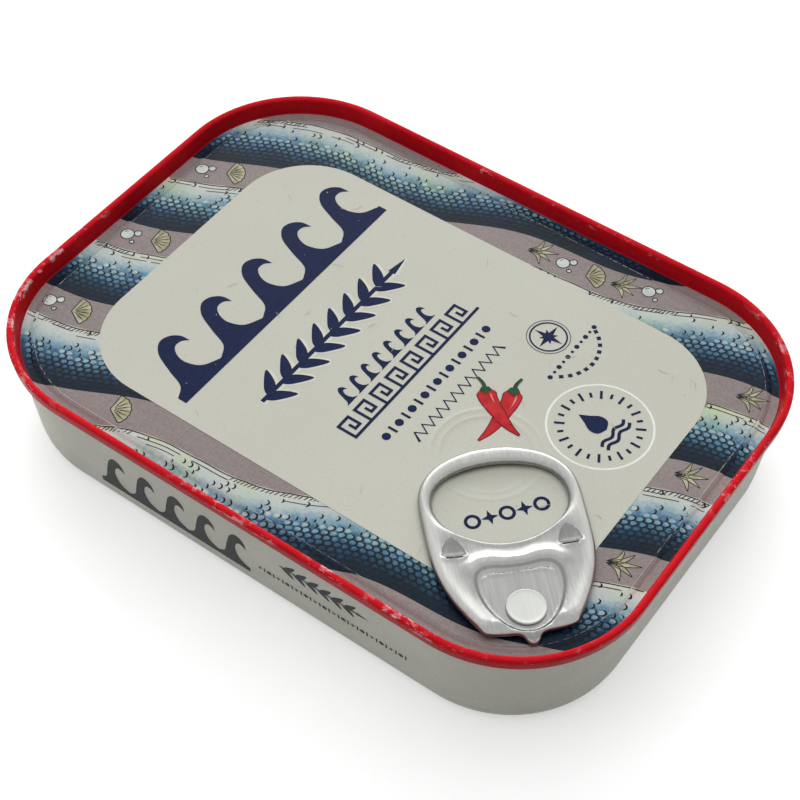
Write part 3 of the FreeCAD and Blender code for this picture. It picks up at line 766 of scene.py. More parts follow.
def weed(root, size, turn):
    """A tuft of sea grass: curved blades from one root."""
    for k, lean in enumerate((-0.75, -0.35, 0.05, 0.45, 0.8)):
        long = size * (1.0 - 0.14 * abs(k - 2))
        way = turn + 0.6 * lean
        middle, tip = reach_out(root, 0.5 * long, way), reach_out(root, long, way + 0.55 * lean)
        path = curve([root, middle, tip], 6)
        share = np.linspace(0, 1, len(path))
        blade = 0.14 * size * np.sin(math.pi * (0.12 + 0.88 * share)) + 0.02
        shell_fill.line(path, blade)
        run = path[1:] - path[:-1]
        side = left_of(np.vstack([run, run[-1:]]))
        for way_out in (-0.5, 0.5):
            shell_lines.line(path + side * blade[:, None] * way_out, 0.11)


def bubbles(first, size):
    """Three bubbles with dark rims and a glint."""
    for away, turn, share in ((0, 0, 1.0), (1.55, 0.7, 0.55), (1.75, -0.5, 0.34)):
        place, radius = reach_out(first, away * size, turn), size * share
        bubble_fill.disc(place, radius, 24)
        shell_lines.line(on_circle(place, radius, full_turn(24)), 0.15, closed=True)
        glint = on_circle(place, 0.62 * radius, np.linspace(1.9, 3.0, 6))
        shell_lines.line(glint, [0.04, 0.1, 0.12, 0.12, 0.1, 0.04])


# the motifs take turns along the middle of each strip of mauve
gap_middle, MOTIF_PITCH = 1 + (SEA_PITCH - SEA_BREADTH) / 2 / SEA_BREADTH, 4.6
motif = 0
for band in SEA_BANDS:
    for along in np.arange(-60, 60, MOTIF_PITCH):
        x, y = from_sea(along, gap_middle, band)
        if seam_distance(x, y) < 4.6 or label_distance(x, y) > -2.6:
            continue
        if motif % 3 == 0:
            shell((x - 1.2, y - 0.4), 2.6, SEA_TURN + 0.35)
        elif motif % 3 == 1:
            weed((x - 2.1, y - 0.4), 4.7, SEA_TURN + 0.1)
        else:
            bubbles((x - 1.0, y), 1.05)
        motif += 1

khaki = plain_ink("khaki_ink", (0.30, 0.285, 0.165), (0.50, 0.49, 0.33), 700)
bubble_ink = plain_ink("bubble_ink", (0.50, 0.56, 0.55), (0.64, 0.67, 0.62), 500)
black = black_ink()
sheets = [(shell_fill, "shell_print", khaki, 0.012), (bubble_fill, "bubble_print", bubble_ink, 0.012)]
sheets += [(line_work, "sea_line_print", black, 0.020), (shell_lines, "shell_line_print", black, 0.026)]
lay_on_lid(sheets, on_panel, on_open_panel)

score = Plate()
score.line(loop_at(SCORE_INSET), 0.06, closed=True)
bare = plain_ink("bare_score", (0.20, 0.19, 0.185), (0.60, 0.59, 0.57), 90)
lay_on_lid([(score, "score_line", bare, 0.032)], on_panel)

# ------------------------------------------------------------------------------ label field
# A flat putty-grey field printed over the sea, with round corners, in the same lacquer
# colour as the body.


def label_ink():
    """Putty-grey field: satin varnish with the faintest drift of tone and a few fine specks."""
    paint = Paint("label_ink", Roughness=0.42, Specular_IOR_Level=0.22)
    tones = (0.3, (0.545, 0.545, 0.472)), (0.7, (0.570, 0.572, 0.500))
    grain = paint.mottle(3000, (0.3, 0.95), (0.6, 1.01), detail=1)
    paint.colour(paint.times(paint.mottle(30, *tones, detail=2), grain))
    paint.varnish(260, 0.34, 0.48, 1000, 0.006)
    return paint.material


label_dots = [
    (x, y)
    for x in np.arange(-38, 41, 3.0)
    for y in np.arange(-27, 26, 3.0)
    if label_distance(x, y) > 0.8
]
flat, faces = cut_sheet(rounded_label(), well_rings, label_dots)
sheet_piece("label_field", flat, faces, label_ink(), lift=0.045)

# ------------------------------------------------------------------------- print on the label
# Plain ornament in the label's rows, read from the tin's right-hand end: rolling waves, a
# laurel with a pale edge, small border rows, red peppers, a compass mark, a badge, and dust.


def on_label(lift):
    """Label places: across the reading line, and up it."""
    return lambda across, up, hair: (-up, across, panel_level(-up, across) + lift + hair)


def ring_of(centre, radius, start=0, end=360, step=6):
    """A circle, or an arc of it, between angles in degrees."""
    return on_circle(centre, radius, np.radians(np.arange(start, end, step)))


def star(plate, centre, outer, inner, turn=90):
    """A star of four points."""
    corners = []
    for k in range(8):
        corners.append(reach_out(centre, inner if k % 2 else outer, math.radians(turn + 45 * k)))
    plate.fill(corners)


navy, halo = Plate(), Plate()
for left in in_a_row(-25.5, 9.68, 5):
    rolling_wave(navy, left, 19.9, 9.5, 9.3)
navy.line([(-25.5, 19.15), (22.9, 19.15)], 1.5)

# the laurel and its pale edge
laurel(halo, -18.75, 9.72, 3.75, 8, 6.4, 0.6)
laurel(navy, -18.9, 9.9, 3.75, 8, 6.4)

# small waves, a key pattern, beads and a zigzag
KEY = ((0, 0), (0, 1), (0.78, 1), (0.78, 0.32), (0.42, 0.32), (0.42, 0.62))
KEY_FOOT, KEY_PITCH, KEY_STROKE = -4.7, 3.78, 0.48
for left in in_a_row(-12.4, 2.75, 8):
    rolling_wave(navy, left, -0.4, 2.5, 3.1)
for left in in_a_row(-16.2, KEY_PITCH, 8):
    key_line = [(left + 2.9 * u, KEY_FOOT + 3.1 * v) for u, v in KEY]
    for a, b in zip(key_line, key_line[1:]):
        step = np.array(b) - np.array(a)
        reach = step / np.hypot(*step) * (KEY_STROKE / 2)
        navy.line([np.array(a) - reach, np.array(b) + reach], KEY_STROKE)
    ends = (left - KEY_STROKE / 2, left + KEY_PITCH + KEY_STROKE / 2)
    navy.line([(end, KEY_FOOT) for end in ends], KEY_STROKE)
for k, place in enumerate(in_a_row(-13.6, 1.56, 17)):
    if k % 2:
        navy.line([(place, -8.85), (place, -7.25)], 0.42)
    else:
        navy.disc((place, -8.05), 0.66, 18)
zigzag = [(place, -12.4 + 1.6 * (k % 2)) for k, place in enumerate(in_a_row(-11.6, 0.9, 25))]
navy.line(zigzag, 0.40)

# compass mark with a row of dots and an arc of dashes below it
mark = (15.5, -16.3)
navy.line(ring_of(mark, 2.75), 0.26, closed=True)
navy.line(ring_of(mark, 3.25), 0.10, closed=True)
star(navy, mark, 2.45, 0.62)
star(navy, mark, 1.45, 0.55, 45)
for k, place in enumerate(in_a_row(9.1, 1.2, 11)):
    navy.disc((place, -20.7), 0.25 if k % 2 else 0.40, 14)
for turn in np.arange(216, 331, 12):
    navy.line(ring_of((15.1, -17.9), 6.4, turn, turn + 7, 3), 0.62)

# badge: a pale ring, a ring of ticks and a bold drop over two ripples
badge, badge_ring, TICK_REACH = (5.64, -31.27), Plate(), 5.75
badge_ring.line(ring_of(badge, 7.62, step=4), 0.32, closed=True)
for turn in np.arange(0, 360, 15):
    half = 0.75 if turn % 30 == 0 else 0.45
    ends = (TICK_REACH - half, TICK_REACH + half)
    navy.line([reach_out(badge, reach, math.radians(turn)) for reach in ends], 0.40)
drop = curve([(0, 3.3), (0.75, 1.9), (1.55, 0.55), (1.35, -0.75), (0, -1.4)], 7)
drop = np.vstack([drop, (drop * (-1, 1))[::-1][1:-1]])
navy.fill(drop + badge + (0, 0.3))
for level in (-2.1, -3.1):
    run = np.arange(-3, 3.1, 0.25)
    navy.line(np.column_stack([badge[0] + run, badge[1] + level + 0.28 * np.sin(run * 2.2)]), 0.5)

# peppers: two crossed red pods with green stalks, each over its own dark edge
PEPPER_ROOT, DOWN = np.array((2.9, -16.1)), math.radians(213)
down = np.array((math.cos(DOWN), math.sin(DOWN)))
aside = np.array((-down[1], down[0]))
pods, pod_edges, stalks, glints = [Plate(), Plate()], [Plate(), Plate()], Plate(), Plate()
for pod, edge, side, long in zip(pods, pod_edges, (1, -1), (9.4, 8.2)):
    spine = ((0, 2.1), (0.25, 1.5), (0.55, 0.1), (0.8, -1.3), (1.0, -2.9))
    path = curve([PEPPER_ROOT + down * a * long + aside * side * b for a, b in spine], 7)
    share = np.linspace(0, 1, len(path))
    girth = 2.7 * np.clip(share * 9, 0, 1) ** 0.5 * (1 - share**1.5) + 0.10
    pod.line(path, girth)
    edge.line(path, girth + 0.30)
    glint = path + left_of(np.gradient(path, axis=0)) * girth[:, None] * 0.22
    glints.line(glint[3:10], [0.04, 0.16, 0.26, 0.26, 0.20, 0.12, 0.04])
    stalks.line([path[0] - down * 0.35, path[1], path[3]], [1.1, 1.9, 0.5])
    stem = [path[0] - down * a + aside * side * b for a, b in ((0, 0), (1.0, 0.3), (2.1, 1.1))]
    stem = curve(stem, 5)
    stalks.line(stem, np.linspace(0.7, 0.42, len(stem)))

pepper_red = plain_ink("pepper_red", (0.42, 0.012, 0.018), (0.56, 0.028, 0.034), 500)
pepper_dark = plain_ink("pepper_dark", (0.10, 0.006, 0.008), (0.14, 0.01, 0.01))
navy_ink = plain_ink("navy_ink", (0.0065, 0.014, 0.058), (0.004, 0.010, 0.045))
halo_ink = plain_ink("halo_ink", (0.63, 0.63, 0.56), (0.68, 0.68, 0.61))
white_ink = plain_ink("white_ink", (0.80, 0.80, 0.76), (0.86, 0.86, 0.82))
glint_ink = plain_ink("pepper_glint", (0.72, 0.20, 0.18), (0.8, 0.3, 0.26))
stalk_green = plain_ink("stalk_green", (0.018, 0.050, 0.022), (0.03, 0.08, 0.034))
# each print's plate, name, ink and height above the panel
sheets = (
    (halo, "label_halo", halo_ink, 0.053),
    (navy, "label_ornament", navy_ink, 0.068),
    (badge_ring, "badge_ring", white_ink, 0.055),
    (pod_edges[0], "pepper_edge_low", pepper_dark, 0.055),
    (pods[0], "pepper_pod_low", pepper_red, 0.076),
    (pod_edges[1], "pepper_edge_high", pepper_dark, 0.097),
    (pods[1], "pepper_pod_high", pepper_red, 0.118),
    (glints, "pepper_glints", glint_ink, 0.132),
    (stalks, "pepper_stalks", stalk_green, 0.142),
)
lay_on_lid(sheets, on_label)

# a row of discs and lozenges inside the finger ring, turned to face the tab
ring_print = Plate()
for k in (-2, -1, 0, 1, 2):
    spot = reach_out((-14.6, -29.0), 2.5 * k, math.radians(-36))
    if k % 2 == 0:
        ring_print.line(ring_of(spot, 0.95, step=15), 0.48, closed=True)
    else:
        star(ring_print, spot, 1.25, 0.46, 54)
lay_on_lid([(ring_print, "ring_ornament", navy_ink, 0.065)], on_label)


# fine dust and a few short hairs that lie on the label
dust, chance = Plate(), random.Random(41)
while len(dust.shape_starts) < 70:
    x, y = chance.uniform(-38, 41), chance.uniform(-27, 25)
    if label_distance(x, y) < 1.5:
        continue
    if chance.random() < 0.72:
        dust.disc((y, -x), chance.uniform(0.05, 0.12), 7)
        continue
    turn, long = chance.uniform(0, 6.28), chance.uniform(0.35, 0.9)
    bow = chance.uniform(-0.25, 0.25)
    hair = curve([reach_out((y, -x), long * k, turn + bow * k) for k in (0, 1, 2)], 4)
    dust.line(hair, chance.uniform(0.05, 0.08))
dust_ink = plain_ink("dust", (0.36, 0.355, 0.31), (0.46, 0.455, 0.40))
lay_on_lid([(dust, "label_dust", dust_ink, 0.115)], on_label)

# ---------------------------------------------------------------------------- pull tab
# The ring pull is stamped from aluminium sheet: its edge is curled into a tube, a wavy ridge
# is raised behind a cup, and the cup's flat tongue is held to the lid by the rivet. Two coined
# shields with slits lie where the ring meets the web.
RIVET_PLACE, TAB_TURN = (39.628, -26.222), math.radians(-45)
WEB_TOP, TUBE_MIDDLE, TUBE_RADIUS, TONGUE_TOP, RIDGE_TOP = 19.0, 18.6, 0.85, 18.40, 19.50
WEB_THICK, CUP_THICK, NOSE_DROOP, NOSE_MIDDLE, NOSE_ROUND = 0.55, 0.35, 0.55, 18.5, 0.35
HOLE_ROUND_AT_RING, HOLE_ROUND_AT_WEB, HOLE_HEM, CUP_LIP = 1.25, 0.28, 0.10, 0.15
COIN_DEPTH, LOW_SLIT_LIP, HIGH_SLIT_LIP, SLIT_END_BUMP = 0.13, 0.26, 0.10, 0.16
NOSE_CREASE, EAR_PINCH = 0.16, 0.10
TAB_EDGE = [
    (-26.1, 0), (-26.06, 1.5), (-25.85, 3.1), (-25.3, 5.0), (-24.4, 7.1), (-23.0, 8.95),
    (-21.3, 10.25), (-19.5, 10.95), (-17.4, 11.18), (-14.5, 11.2), (-11, 11.17), (-8, 11.0),
    (-5, 10.4), (-2.1, 9.35), (0.5, 8.0), (2.4, 6.8), (3.2, 6.25), (3.5, 5.7), (3.72, 4.8),
    (3.88, 3.4), (3.95, 2.3), (4.1, 1.6), (4.5, 1.12), (5.05, 0.8), (5.42, 0.42), (5.55, 0),
]
TAB_HOLE = [
    (-23.6, 0), (-23.5, 2.0), (-23.05, 4.3), (-22.2, 6.4), (-20.9, 8.1), (-19.1, 9.1),
    (-17.0, 9.35), (-15.0, 8.8), (-13.2, 7.5), (-11.8, 5.7), (-10.75, 3.5), (-10.25, 1.6),
    (-10.15, 0),
]
CUP_FLOOR = [
    (-5.75, 0), (-5.8, 1.6), (-5.95, 3.0), (-5.8, 4.0), (-5.3, 4.75), (-4.3, 5.0),
    (-2.9, 4.95), (-1.3, 4.6), (0.4, 3.85), (2.0, 2.8), (3.05, 1.4), (3.4, 0),
]
CUP_BRIM = [
    (-7.35, 0), (-7.5, 1.5), (-7.85, 3.0), (-7.9, 4.5), (-7.45, 5.6), (-6.4, 6.25),
    (-4.6, 6.5), (-2.5, 6.3), (-0.5, 5.6), (1.3, 4.6), (2.9, 3.2), (3.75, 1.6), (3.98, 0),
]
COINED_SHIELD = [
    (-8.95, 6.15), (-10.1, 6.4), (-11.2, 6.95), (-12.0, 7.75), (-11.5, 8.6), (-10.4, 9.25),
    (-8.95, 9.6),
]
SLIT_LOW, SLIT_HIGH, SLIT_START, SLIT_END = -8.95, -8.62, 6.75, 8.95
# the net: rows of points this far from an edge, then a grid; one point to a small cell
EDGE_ROWS, GRID, CELL = (0.03, 0.11, 0.25, 0.43, 0.63, 0.85, 1.05, 1.3, 1.6, 1.9, 2.2), 0.31, 0.09


def mirrored(half):
    """A closed outline from the half that lies on one side of the tab's axis."""
    return half + [(u, -v) for u, v in half[-2 if half[-1][1] == 0 else -1 : 0 : -1]]


def on_both_sides(outline):
    """An outline and its twin across the tab's axis, both turning the same way."""
    return [np.array([(u, side * v) for u, v in outline][::side]) for side in (1, -1)]


def smooth_closed(corners, step):
    """Points at even steps on a smooth closed line through the corners."""
    corners = [np.array(c, float) for c in corners]
    line = np.array(pass_through(corners[-1:] + corners + corners[:2], 11))
    lengths = np.hypot(*(np.roll(line, -1, 0) - line).T)
    run = np.concatenate([[0], np.cumsum(lengths)])
    marks = np.linspace(0, run[-1], max(12, round(run[-1] / step)) + 1)[:-1]
    closed = np.vstack([line, line[:1]])
    return np.column_stack([np.interp(marks, run, closed[:, n]) for n in (0, 1)])


def line_distance(spots, line):
    """Each spot's distance from a closed line, positive inside it."""
    best = np.full(len(spots), np.inf)
    crossings = np.zeros(len(spots), int)
    for start, end in zip(line, np.roll(line, -1, 0)):
        rel, way = spots - start, end - start
        share = np.clip(rel @ way / (way @ way), 0, 1)
        best = np.minimum(best, np.hypot(*(rel - share[:, None] * way).T))
        spans = (start[1] > spots[:, 1]) != (end[1] > spots[:, 1])
        if way[1]:
            reach = start[0] + way[0] * (spots[:, 1] - start[1]) / way[1]
            crossings += spans & (spots[:, 0] < reach)
    return np.where(crossings % 2 == 1, best, -best)


def ease(value, start, end):
    return smooth_step((value - start) / (end - start))


def rounding(distance, reach):
    """Height share of a quarter round that starts at an edge."""
    share = 1 - np.clip(distance / reach, 0, 1)
    return np.sqrt(np.maximum(0, 1 - share * share))


edge_line = smooth_closed(mirrored(TAB_EDGE), 0.28)
hole_line = smooth_closed(mirrored(TAB_HOLE), 0.28)
floor_line = smooth_closed(mirrored(CUP_FLOOR), 0.25)
brim_line = smooth_closed(mirrored(CUP_BRIM), 0.3)
shield_lines = on_both_sides(COINED_SHIELD)


def tab_levels(spots):
    """Top and bottom level of the tab's sheet at places along and across its axis."""
    u, v = spots[:, 0], spots[:, 1]
    from_edge = np.maximum(line_distance(spots, edge_line), 0)
    from_hole = np.maximum(-line_distance(spots, hole_line), 0)
    in_floor = line_distance(spots, floor_line)
    in_brim = line_distance(spots, brim_line)
    in_web = ease(u, -14.0, -10.6)
    curled = 1 - ease(u, 1.6, 3.2)

    # the curl round the edge, and the sheet that falls from it to the web
    tube = TUBE_MIDDLE + TUBE_RADIUS * rounding(from_edge, TUBE_RADIUS)
    tube = tube - (TUBE_MIDDLE + TUBE_RADIUS - WEB_TOP) * ease(from_edge, 0.8, 3.0) * in_web
    nose = NOSE_MIDDLE - NOSE_DROOP * ease(u, 3.4, 5.6)
    plain = nose + (WEB_TOP - NOSE_MIDDLE) * rounding(from_edge, NOSE_ROUND)
    top = plain + (tube - plain) * curled
    low_tube = TUBE_MIDDLE - TUBE_RADIUS * rounding(from_edge, TUBE_RADIUS)
    low_tube = low_tube + (WEB_TOP - WEB_THICK - low_tube) * ease(from_edge, 0.9, 1.8) * in_web
    low_plain = nose - 0.25 * rounding(from_edge, NOSE_ROUND)
    bottom = low_plain + (low_tube - low_plain) * curled

    # the finger hole's edge: round like the tube at the ring, thin at the web
    inner = rounding(from_hole, HOLE_ROUND_AT_RING) * (1 - in_web)
    inner = inner + rounding(from_hole, HOLE_ROUND_AT_WEB) * in_web
    brink = (TUBE_MIDDLE - 0.12) * (1 - in_web) + (WEB_TOP - 0.22) * in_web
    hem = HOLE_HEM * in_web * swell(from_hole - 0.42, 0.22)
    top = brink + (top - brink) * inner + hem
    brink = brink - 0.18 * in_web
    bottom = brink + (bottom - brink) * inner

    # the cup with the tongue as its floor, and the ridge that runs round behind it
    ridge = (RIDGE_TOP - WEB_TOP) * (1 - ease(u, -7.6, -5.2))
    ridge = ridge * (1 - 0.12 * swell(v, 1.8))
    top = np.where(in_brim < 0, top + ridge * swell(in_brim, 0.8), top)
    climb = np.clip(-in_floor / np.maximum(in_brim - in_floor, 0.05), 0, 1)
    cup = TONGUE_TOP + (top + ridge - TONGUE_TOP) * ease(climb, 0.12, 0.92)
    top = np.where(in_brim >= 0, cup, top)
    lip = CUP_LIP * ease(-u, 4.6, 5.3) * swell(in_floor - 0.12, 0.12)
    top = top + np.where(in_floor > 0, lip, 0)
    bottom = np.where(in_brim >= 0, np.minimum(bottom, top - CUP_THICK), bottom)
    bottom = np.where(in_floor > -0.2, PANEL + 0.03, bottom)

    # coined shields, slit lips, the crease down the nose and the pinched ears
    for line in shield_lines:
        top = top - COIN_DEPTH * ease(line_distance(spots, line), 0.0, 0.16)
    out = np.abs(v)
    past_slit = np.abs(out - (SLIT_START + SLIT_END) / 2) - (SLIT_END - SLIT_START) / 2
    beside = swell(np.maximum(past_slit, 0), 0.22)
    top = top + LOW_SLIT_LIP * beside * swell(u - SLIT_LOW + 0.26, 0.17)
    top = top + HIGH_SLIT_LIP * beside * swell(u - SLIT_HIGH - 0.2, 0.16)
    for end in (SLIT_START - 0.42, SLIT_END + 0.42):
        top = top + SLIT_END_BUMP * swell(np.hypot(u + 8.75, out - end), 0.26)
    top = top + NOSE_CREASE * swell(v, 0.22) * ease(u, 3.9, 4.6)
    pinch = np.sin(5.2 * (out - u) + 0.6 * v) * swell(np.hypot(u - 2.9, out - 6.1), 0.6)
    return top + EAR_PINCH * pinch, bottom


# painted shade and highlight by level: darker in the low places and again just under the web, where
# shade falls, and a painted highlight on the ridge and the tube's top
PAINTED_SHADE_AND_HIGHLIGHT = (
    (18.2, 0.55), (18.375, 1.0), (18.55, 1.0), (18.6125, 0.66), (18.825, 0.66), (18.9625, 0.98),
    (19.15, 1.0), (19.35, 1.25), (19.55, 1.4),
)


def satin_aluminium(name, rough, grain, colour=(0.40, 0.40, 0.387), streak=0.08, tones=PAINTED_SHADE_AND_HIGHLIGHT):
    """Satin aluminium with a fine grain that runs along the tab, and painted shade and highlight by
    level where tones are given.
    """
    paint = Paint(name, Metallic=1.0)
    turned = paint.add("ShaderNodeMapping", {"Vector": paint.place, "Rotation": (0, 0, -TAB_TURN)})
    paint.place = turned.outputs[0]
    dark, light = (tuple(c * share for c in colour) for share in (1 - streak, 1 + streak))
    tone = paint.mottle(3600, (0.35, dark), (0.65, light), stretch=(0.03, 1, 1))
    tone = paint.times(tone, paint.mottle(120, (0.3, 0.93), (0.7, 1.0)))
    # painted shade in the hollows and painted highlight on the high parts, by height
    if tones:
        tone = paint.times(tone, paint.by_height(tones, low=17.5, span=2.5))
    paint.colour(tone)
    ends = (0.3, rough - 0.05), (0.7, rough + 0.06)
    paint.rough(paint.mottle(1500, *ends, detail=2, stretch=(0.06, 1, 1)))
    paint.bump(paint.noise(2200, detail=2, stretch=(0.04, 1, 1)), grain)
    return paint.material


def spots_in_tab(slits):
    """Places for the net's points: close rows along the rounded edges, a grid between them."""
    rows = []
    for line, way in ((edge_line, -1), (hole_line, 1)):
        out = left_of(np.roll(line, -1, 0) - np.roll(line, 1, 0))
        if ((line - line.mean(0)) * out).sum() < 0:
            out = -out
        rows += [line + out * way * reach for reach in EDGE_ROWS]
    near = np.vstack(rows)
    grid = [(u, v) for u in np.arange(-25.9, 5.6, GRID) for v in np.arange(-11.0, 11.1, GRID)]
    spots = np.vstack([near, grid])
    in_grid = np.arange(len(spots)) >= len(near)
    to_edge = np.minimum(line_distance(spots, edge_line), -line_distance(spots, hole_line))
    keep = (to_edge > 0.02) & ~(in_grid & (to_edge < 2.0))
    for slit in slits:
        keep &= np.abs(line_distance(spots, slit)) > 0.05
    cells = {}
    for spot in spots[keep]:
        cells.setdefault((round(spot[0] / CELL), round(spot[1] / CELL)), spot)
    return list(cells.values())


def tab_net():
    """Flat points and faces of the tab, and which faces are coined."""
    slits = [(SLIT_LOW, SLIT_START), (SLIT_HIGH, SLIT_START), (SLIT_HIGH, SLIT_END)]
    slits = on_both_sides(slits + [(SLIT_LOW, SLIT_END)])
    corners, edges = [], []
    for line in [edge_line, hole_line, floor_line, brim_line] + slits + shield_lines:
        edges += ring_edges(len(corners), len(line))
        corners += [Vector(p) for p in line]
    corners += [Vector(p) for p in spots_in_tab(slits)]
    found = geometry.delaunay_2d_cdt(corners, edges, [], 0, 1e-4)
    flat = np.array([tuple(p) for p in found[0]])
    middles = middles_of(flat, found[2])
    solid = (line_distance(middles, edge_line) > 0) & (line_distance(middles, hole_line) < 0)
    for slit in slits:
        solid &= line_distance(middles, slit) < 0
    coined = np.any([line_distance(middles[solid], line) > 0 for line in shield_lines], axis=0)
    flat, faces = only_used(flat, [tuple(f) for f, real in zip(found[2], solid) if real])
    return flat, faces, coined.astype(int)


def tab_piece():
    """The tab's sheet: the flat net raised to its top, its bottom, and walls between them."""
    flat, faces, coined = tab_net()
    top, bottom = tab_levels(flat)
    cos, sin = math.cos(TAB_TURN), math.sin(TAB_TURN)
    spread = flat @ np.array([[cos, sin], [-sin, cos]]) + np.array(RIVET_PLACE)
    both = (top, np.minimum(bottom, top))
    points = np.vstack([np.column_stack([spread, level]) for level in both])
    border = {edge: True for face in faces for edge in zip(face, face[1:] + face[:1])}
    count = len(flat)
    walls = [(b, a, a + count, b + count) for a, b in border if (b, a) not in border]
    all_faces = faces + [tuple(k + count for k in f[::-1]) for f in faces] + walls
    paints = list(coined) + [0] * (len(faces) + len(walls))
    inks = [satin_aluminium("tab_metal_visual", 0.30, 0.014)]
    inks.append(satin_aluminium("coined_metal", 0.60, 0.006, (0.33, 0.33, 0.32), 0.05))
    piece = put_together("pull_tab_sheet", points, all_faces, inks, paints)
    mesh = bmesh.new()
    mesh.from_mesh(piece.data)
    bmesh.ops.remove_doubles(mesh, verts=mesh.verts, dist=0.004 * MM)
    bmesh.ops.recalc_face_normals(mesh, faces=mesh.faces)
    mesh.to_mesh(piece.data)
    mesh.free()
    return piece


tab = tab_piece()
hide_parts("pull_tab")

# ------------------------------------------------------------------------------- rivet
# The rivet is drawn up out of the lid's own sheet and pressed flat over the tongue: a low,
# matt button with a thin rolled edge.
RIVET_TOP = 18.82

button = [(0.9, RIVET_TOP - 0.02), (1.8, RIVET_TOP - 0.015)]
button += [(2.28, RIVET_TOP - 0.02), (2.42, RIVET_TOP), (2.51, RIVET_TOP + 0.025)]
button += bend((2.52, RIVET_TOP - 0.175), 0.2, 80, -30, 7)
button += [(2.67, TONGUE_TOP + 0.03), (2.59, TONGUE_TOP - 0.02)]
points, count = [(*RIVET_PLACE, RIVET_TOP - 0.02)], 72
for reach, level in button:
    points += [(x, y, level) for x, y in on_circle(RIVET_PLACE, reach, full_turn(count))]
faces = [(0, 1 + a, 1 + b) for a, b in ring_edges(0, count)]
faces += [face[:1] + face[:0:-1] for face in join_rows(len(button), count, start=1)]
pale_metal = satin_aluminium("rivet_metal_visual", 0.50, 0.006, (0.60, 0.61, 0.585), 0.03, None)
rivet = put_together("rivet_button", points, faces, [pale_metal])
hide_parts("rivet")

# ------------------------------------------------------------------------------------ stage
# A pale floor that carries the tin's soft shadow, white beyond it, a broad soft lamp overhead
# and a weak one in front.
FLOOR_HALF, WINDOW_WAY, WINDOW_STRENGTH = 1.6, (-0.555, 0.790, 0.260), 3.4


def floor_paper():
    """Matt pale paper that also glows towards viewers and reflections, more so far out."""
    paint = Paint("floor_paper", Roughness=0.9)
    rays = paint.add("ShaderNodeLightPath").outputs
    seen = paint.math("MAXIMUM", rays["Is Camera Ray"], rays["Is Glossy Ray"])
    seen = paint.math("MAXIMUM", seen, rays["Is Transmission Ray"])
    paint.colour(paint.mottle(60, (0.3, 0.69), (0.7, 0.71)))
    glow = paint.add("ShaderNodeEmission", {"Color": (1, 1, 1, 1)})
    away = paint.add("ShaderNodeVectorMath", {0: paint.place}, operation="LENGTH").outputs["Value"]
    white = paint.ramp(away, [(0.10, 0.50), (0.45, 1.0)])
    paint.tree.links.new(paint.math("MULTIPLY", seen, white), glow.inputs["Strength"])
    both = paint.add("ShaderNodeAddShader", {0: paint.shader.outputs[0], 1: glow.outputs[0]})
    output = paint.tree.nodes["Material Output"]
    paint.tree.links.new(both.outputs[0], output.inputs["Surface"])
    return paint.material


floor_mesh = bpy.data.meshes.new("floor")
corners = [(-1, -1), (1, -1), (1, 1), (-1, 1)]
floor_mesh.from_pydata([(FLOOR_HALF * x, FLOOR_HALF * y, 0) for x, y in corners], [], [(0, 1, 2, 3)])
floor_mesh.materials.append(floor_paper())
floor = new_object("floor", floor_mesh)

scene = bpy.context.scene
scene.world = bpy.data.worlds.new("studio")
sky = Nodes(scene.world)
rays = sky.add("ShaderNodeLightPath").outputs
seen = sky.math("MAXIMUM", rays["Is Glossy Ray"], rays["Is Transmission Ray"])
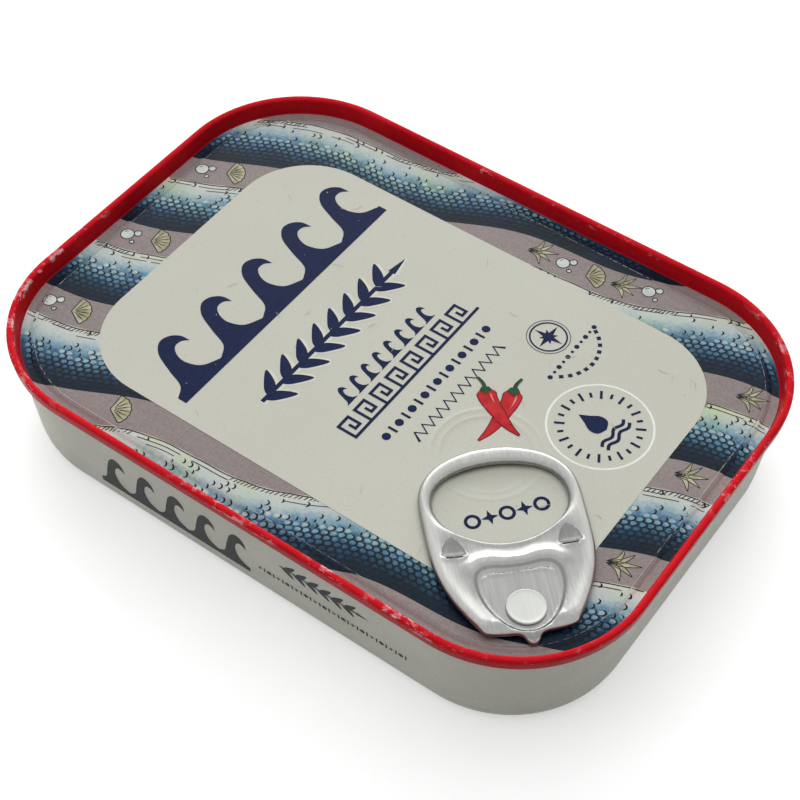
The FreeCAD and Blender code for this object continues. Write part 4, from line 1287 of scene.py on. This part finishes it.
# the room beyond: a bright window low behind the tin, dim where the viewer stands
facing = {0: sky.add("ShaderNodeTexCoord").outputs["Generated"], 1: WINDOW_WAY}
facing = sky.add("ShaderNodeVectorMath", facing, operation="DOT_PRODUCT").outputs["Value"]
room = sky.add("ShaderNodeFloatCurve", {"Value": facing, "Factor": 1.0})
light = room.mapping.curves[0]
light.points[0].location, light.points[1].location = (0.0, 0.040), (1.0, 1.0)
for facing_share, glow_share in ((0.30, 0.055), (0.76, 0.13), (0.84, 0.36), (0.90, 0.75)):
    light.points.new(facing_share, glow_share)
room.mapping.update()
strength = sky.math("MAXIMUM", seen, sky.math("MULTIPLY", room.outputs[0], WINDOW_STRENGTH))
background = {"Factor": rays["Is Camera Ray"], "A": strength, "B": 1.0}
background = sky.add("ShaderNodeMix", background).outputs["Result"]
backdrop = sky.tree.nodes["Background"].inputs
sky.tree.links.new(background, backdrop["Strength"])
backdrop["Color"].default_value = (1, 1, 1, 1)


def soft_lamp(name, place, aim, size, watts):
    """A broad lamp that isn't seen in reflections."""
    lamp = bpy.data.lights.new(name, "AREA")
    lamp.shape = "RECTANGLE"
    lamp.size, lamp.size_y = size
    lamp.energy = watts
    stand = new_object(name, lamp)
    stand.location = place
    stand.rotation_euler = (Vector(aim) - Vector(place)).to_track_quat("-Z", "Y").to_euler()
    stand.visible_glossy = False


soft_lamp("overhead", (-0.02, 0.0, 0.75), (0, 0, 0.02), (0.9, 0.7), 3.95)
soft_lamp("front_fill", (-0.55, -0.65, 0.30), (0, 0, 0.01), (0.5, 0.4), 0.8)

# The camera looks down at the tin from in front and to the right, with a long lens.
AZIMUTH, ELEVATION, ROLL = (math.radians(degrees) for degrees in (35.114, 50.437, 0.8086))
SHIFT_RIGHT, SHIFT_UP, DISTANCE, AIM_LEVEL = 0.476, -8.775, 257.006, 20.45
LENS, SENSOR = 80.12, 36.0
flat = math.cos(ELEVATION)
back = Vector((math.sin(AZIMUTH) * flat, -math.cos(AZIMUTH) * flat, math.sin(ELEVATION)))
level_right = Vector((0, 0, 1)).cross(back).normalized()
level_up = back.cross(level_right)
right = math.cos(ROLL) * level_right + math.sin(ROLL) * level_up
up = -math.sin(ROLL) * level_right + math.cos(ROLL) * level_up
camera = new_object("camera", bpy.data.cameras.new("camera"))
place = (SHIFT_RIGHT * right + SHIFT_UP * up + DISTANCE * back + Vector((0, 0, AIM_LEVEL))) * MM
camera.matrix_world = Matrix((*zip(right, up, back, place), (0, 0, 0, 1)))
camera.data.lens, camera.data.sensor_width = LENS, SENSOR
camera.data.clip_start = 0.01
scene.camera = camera
scene.view_settings.view_transform = "Standard"
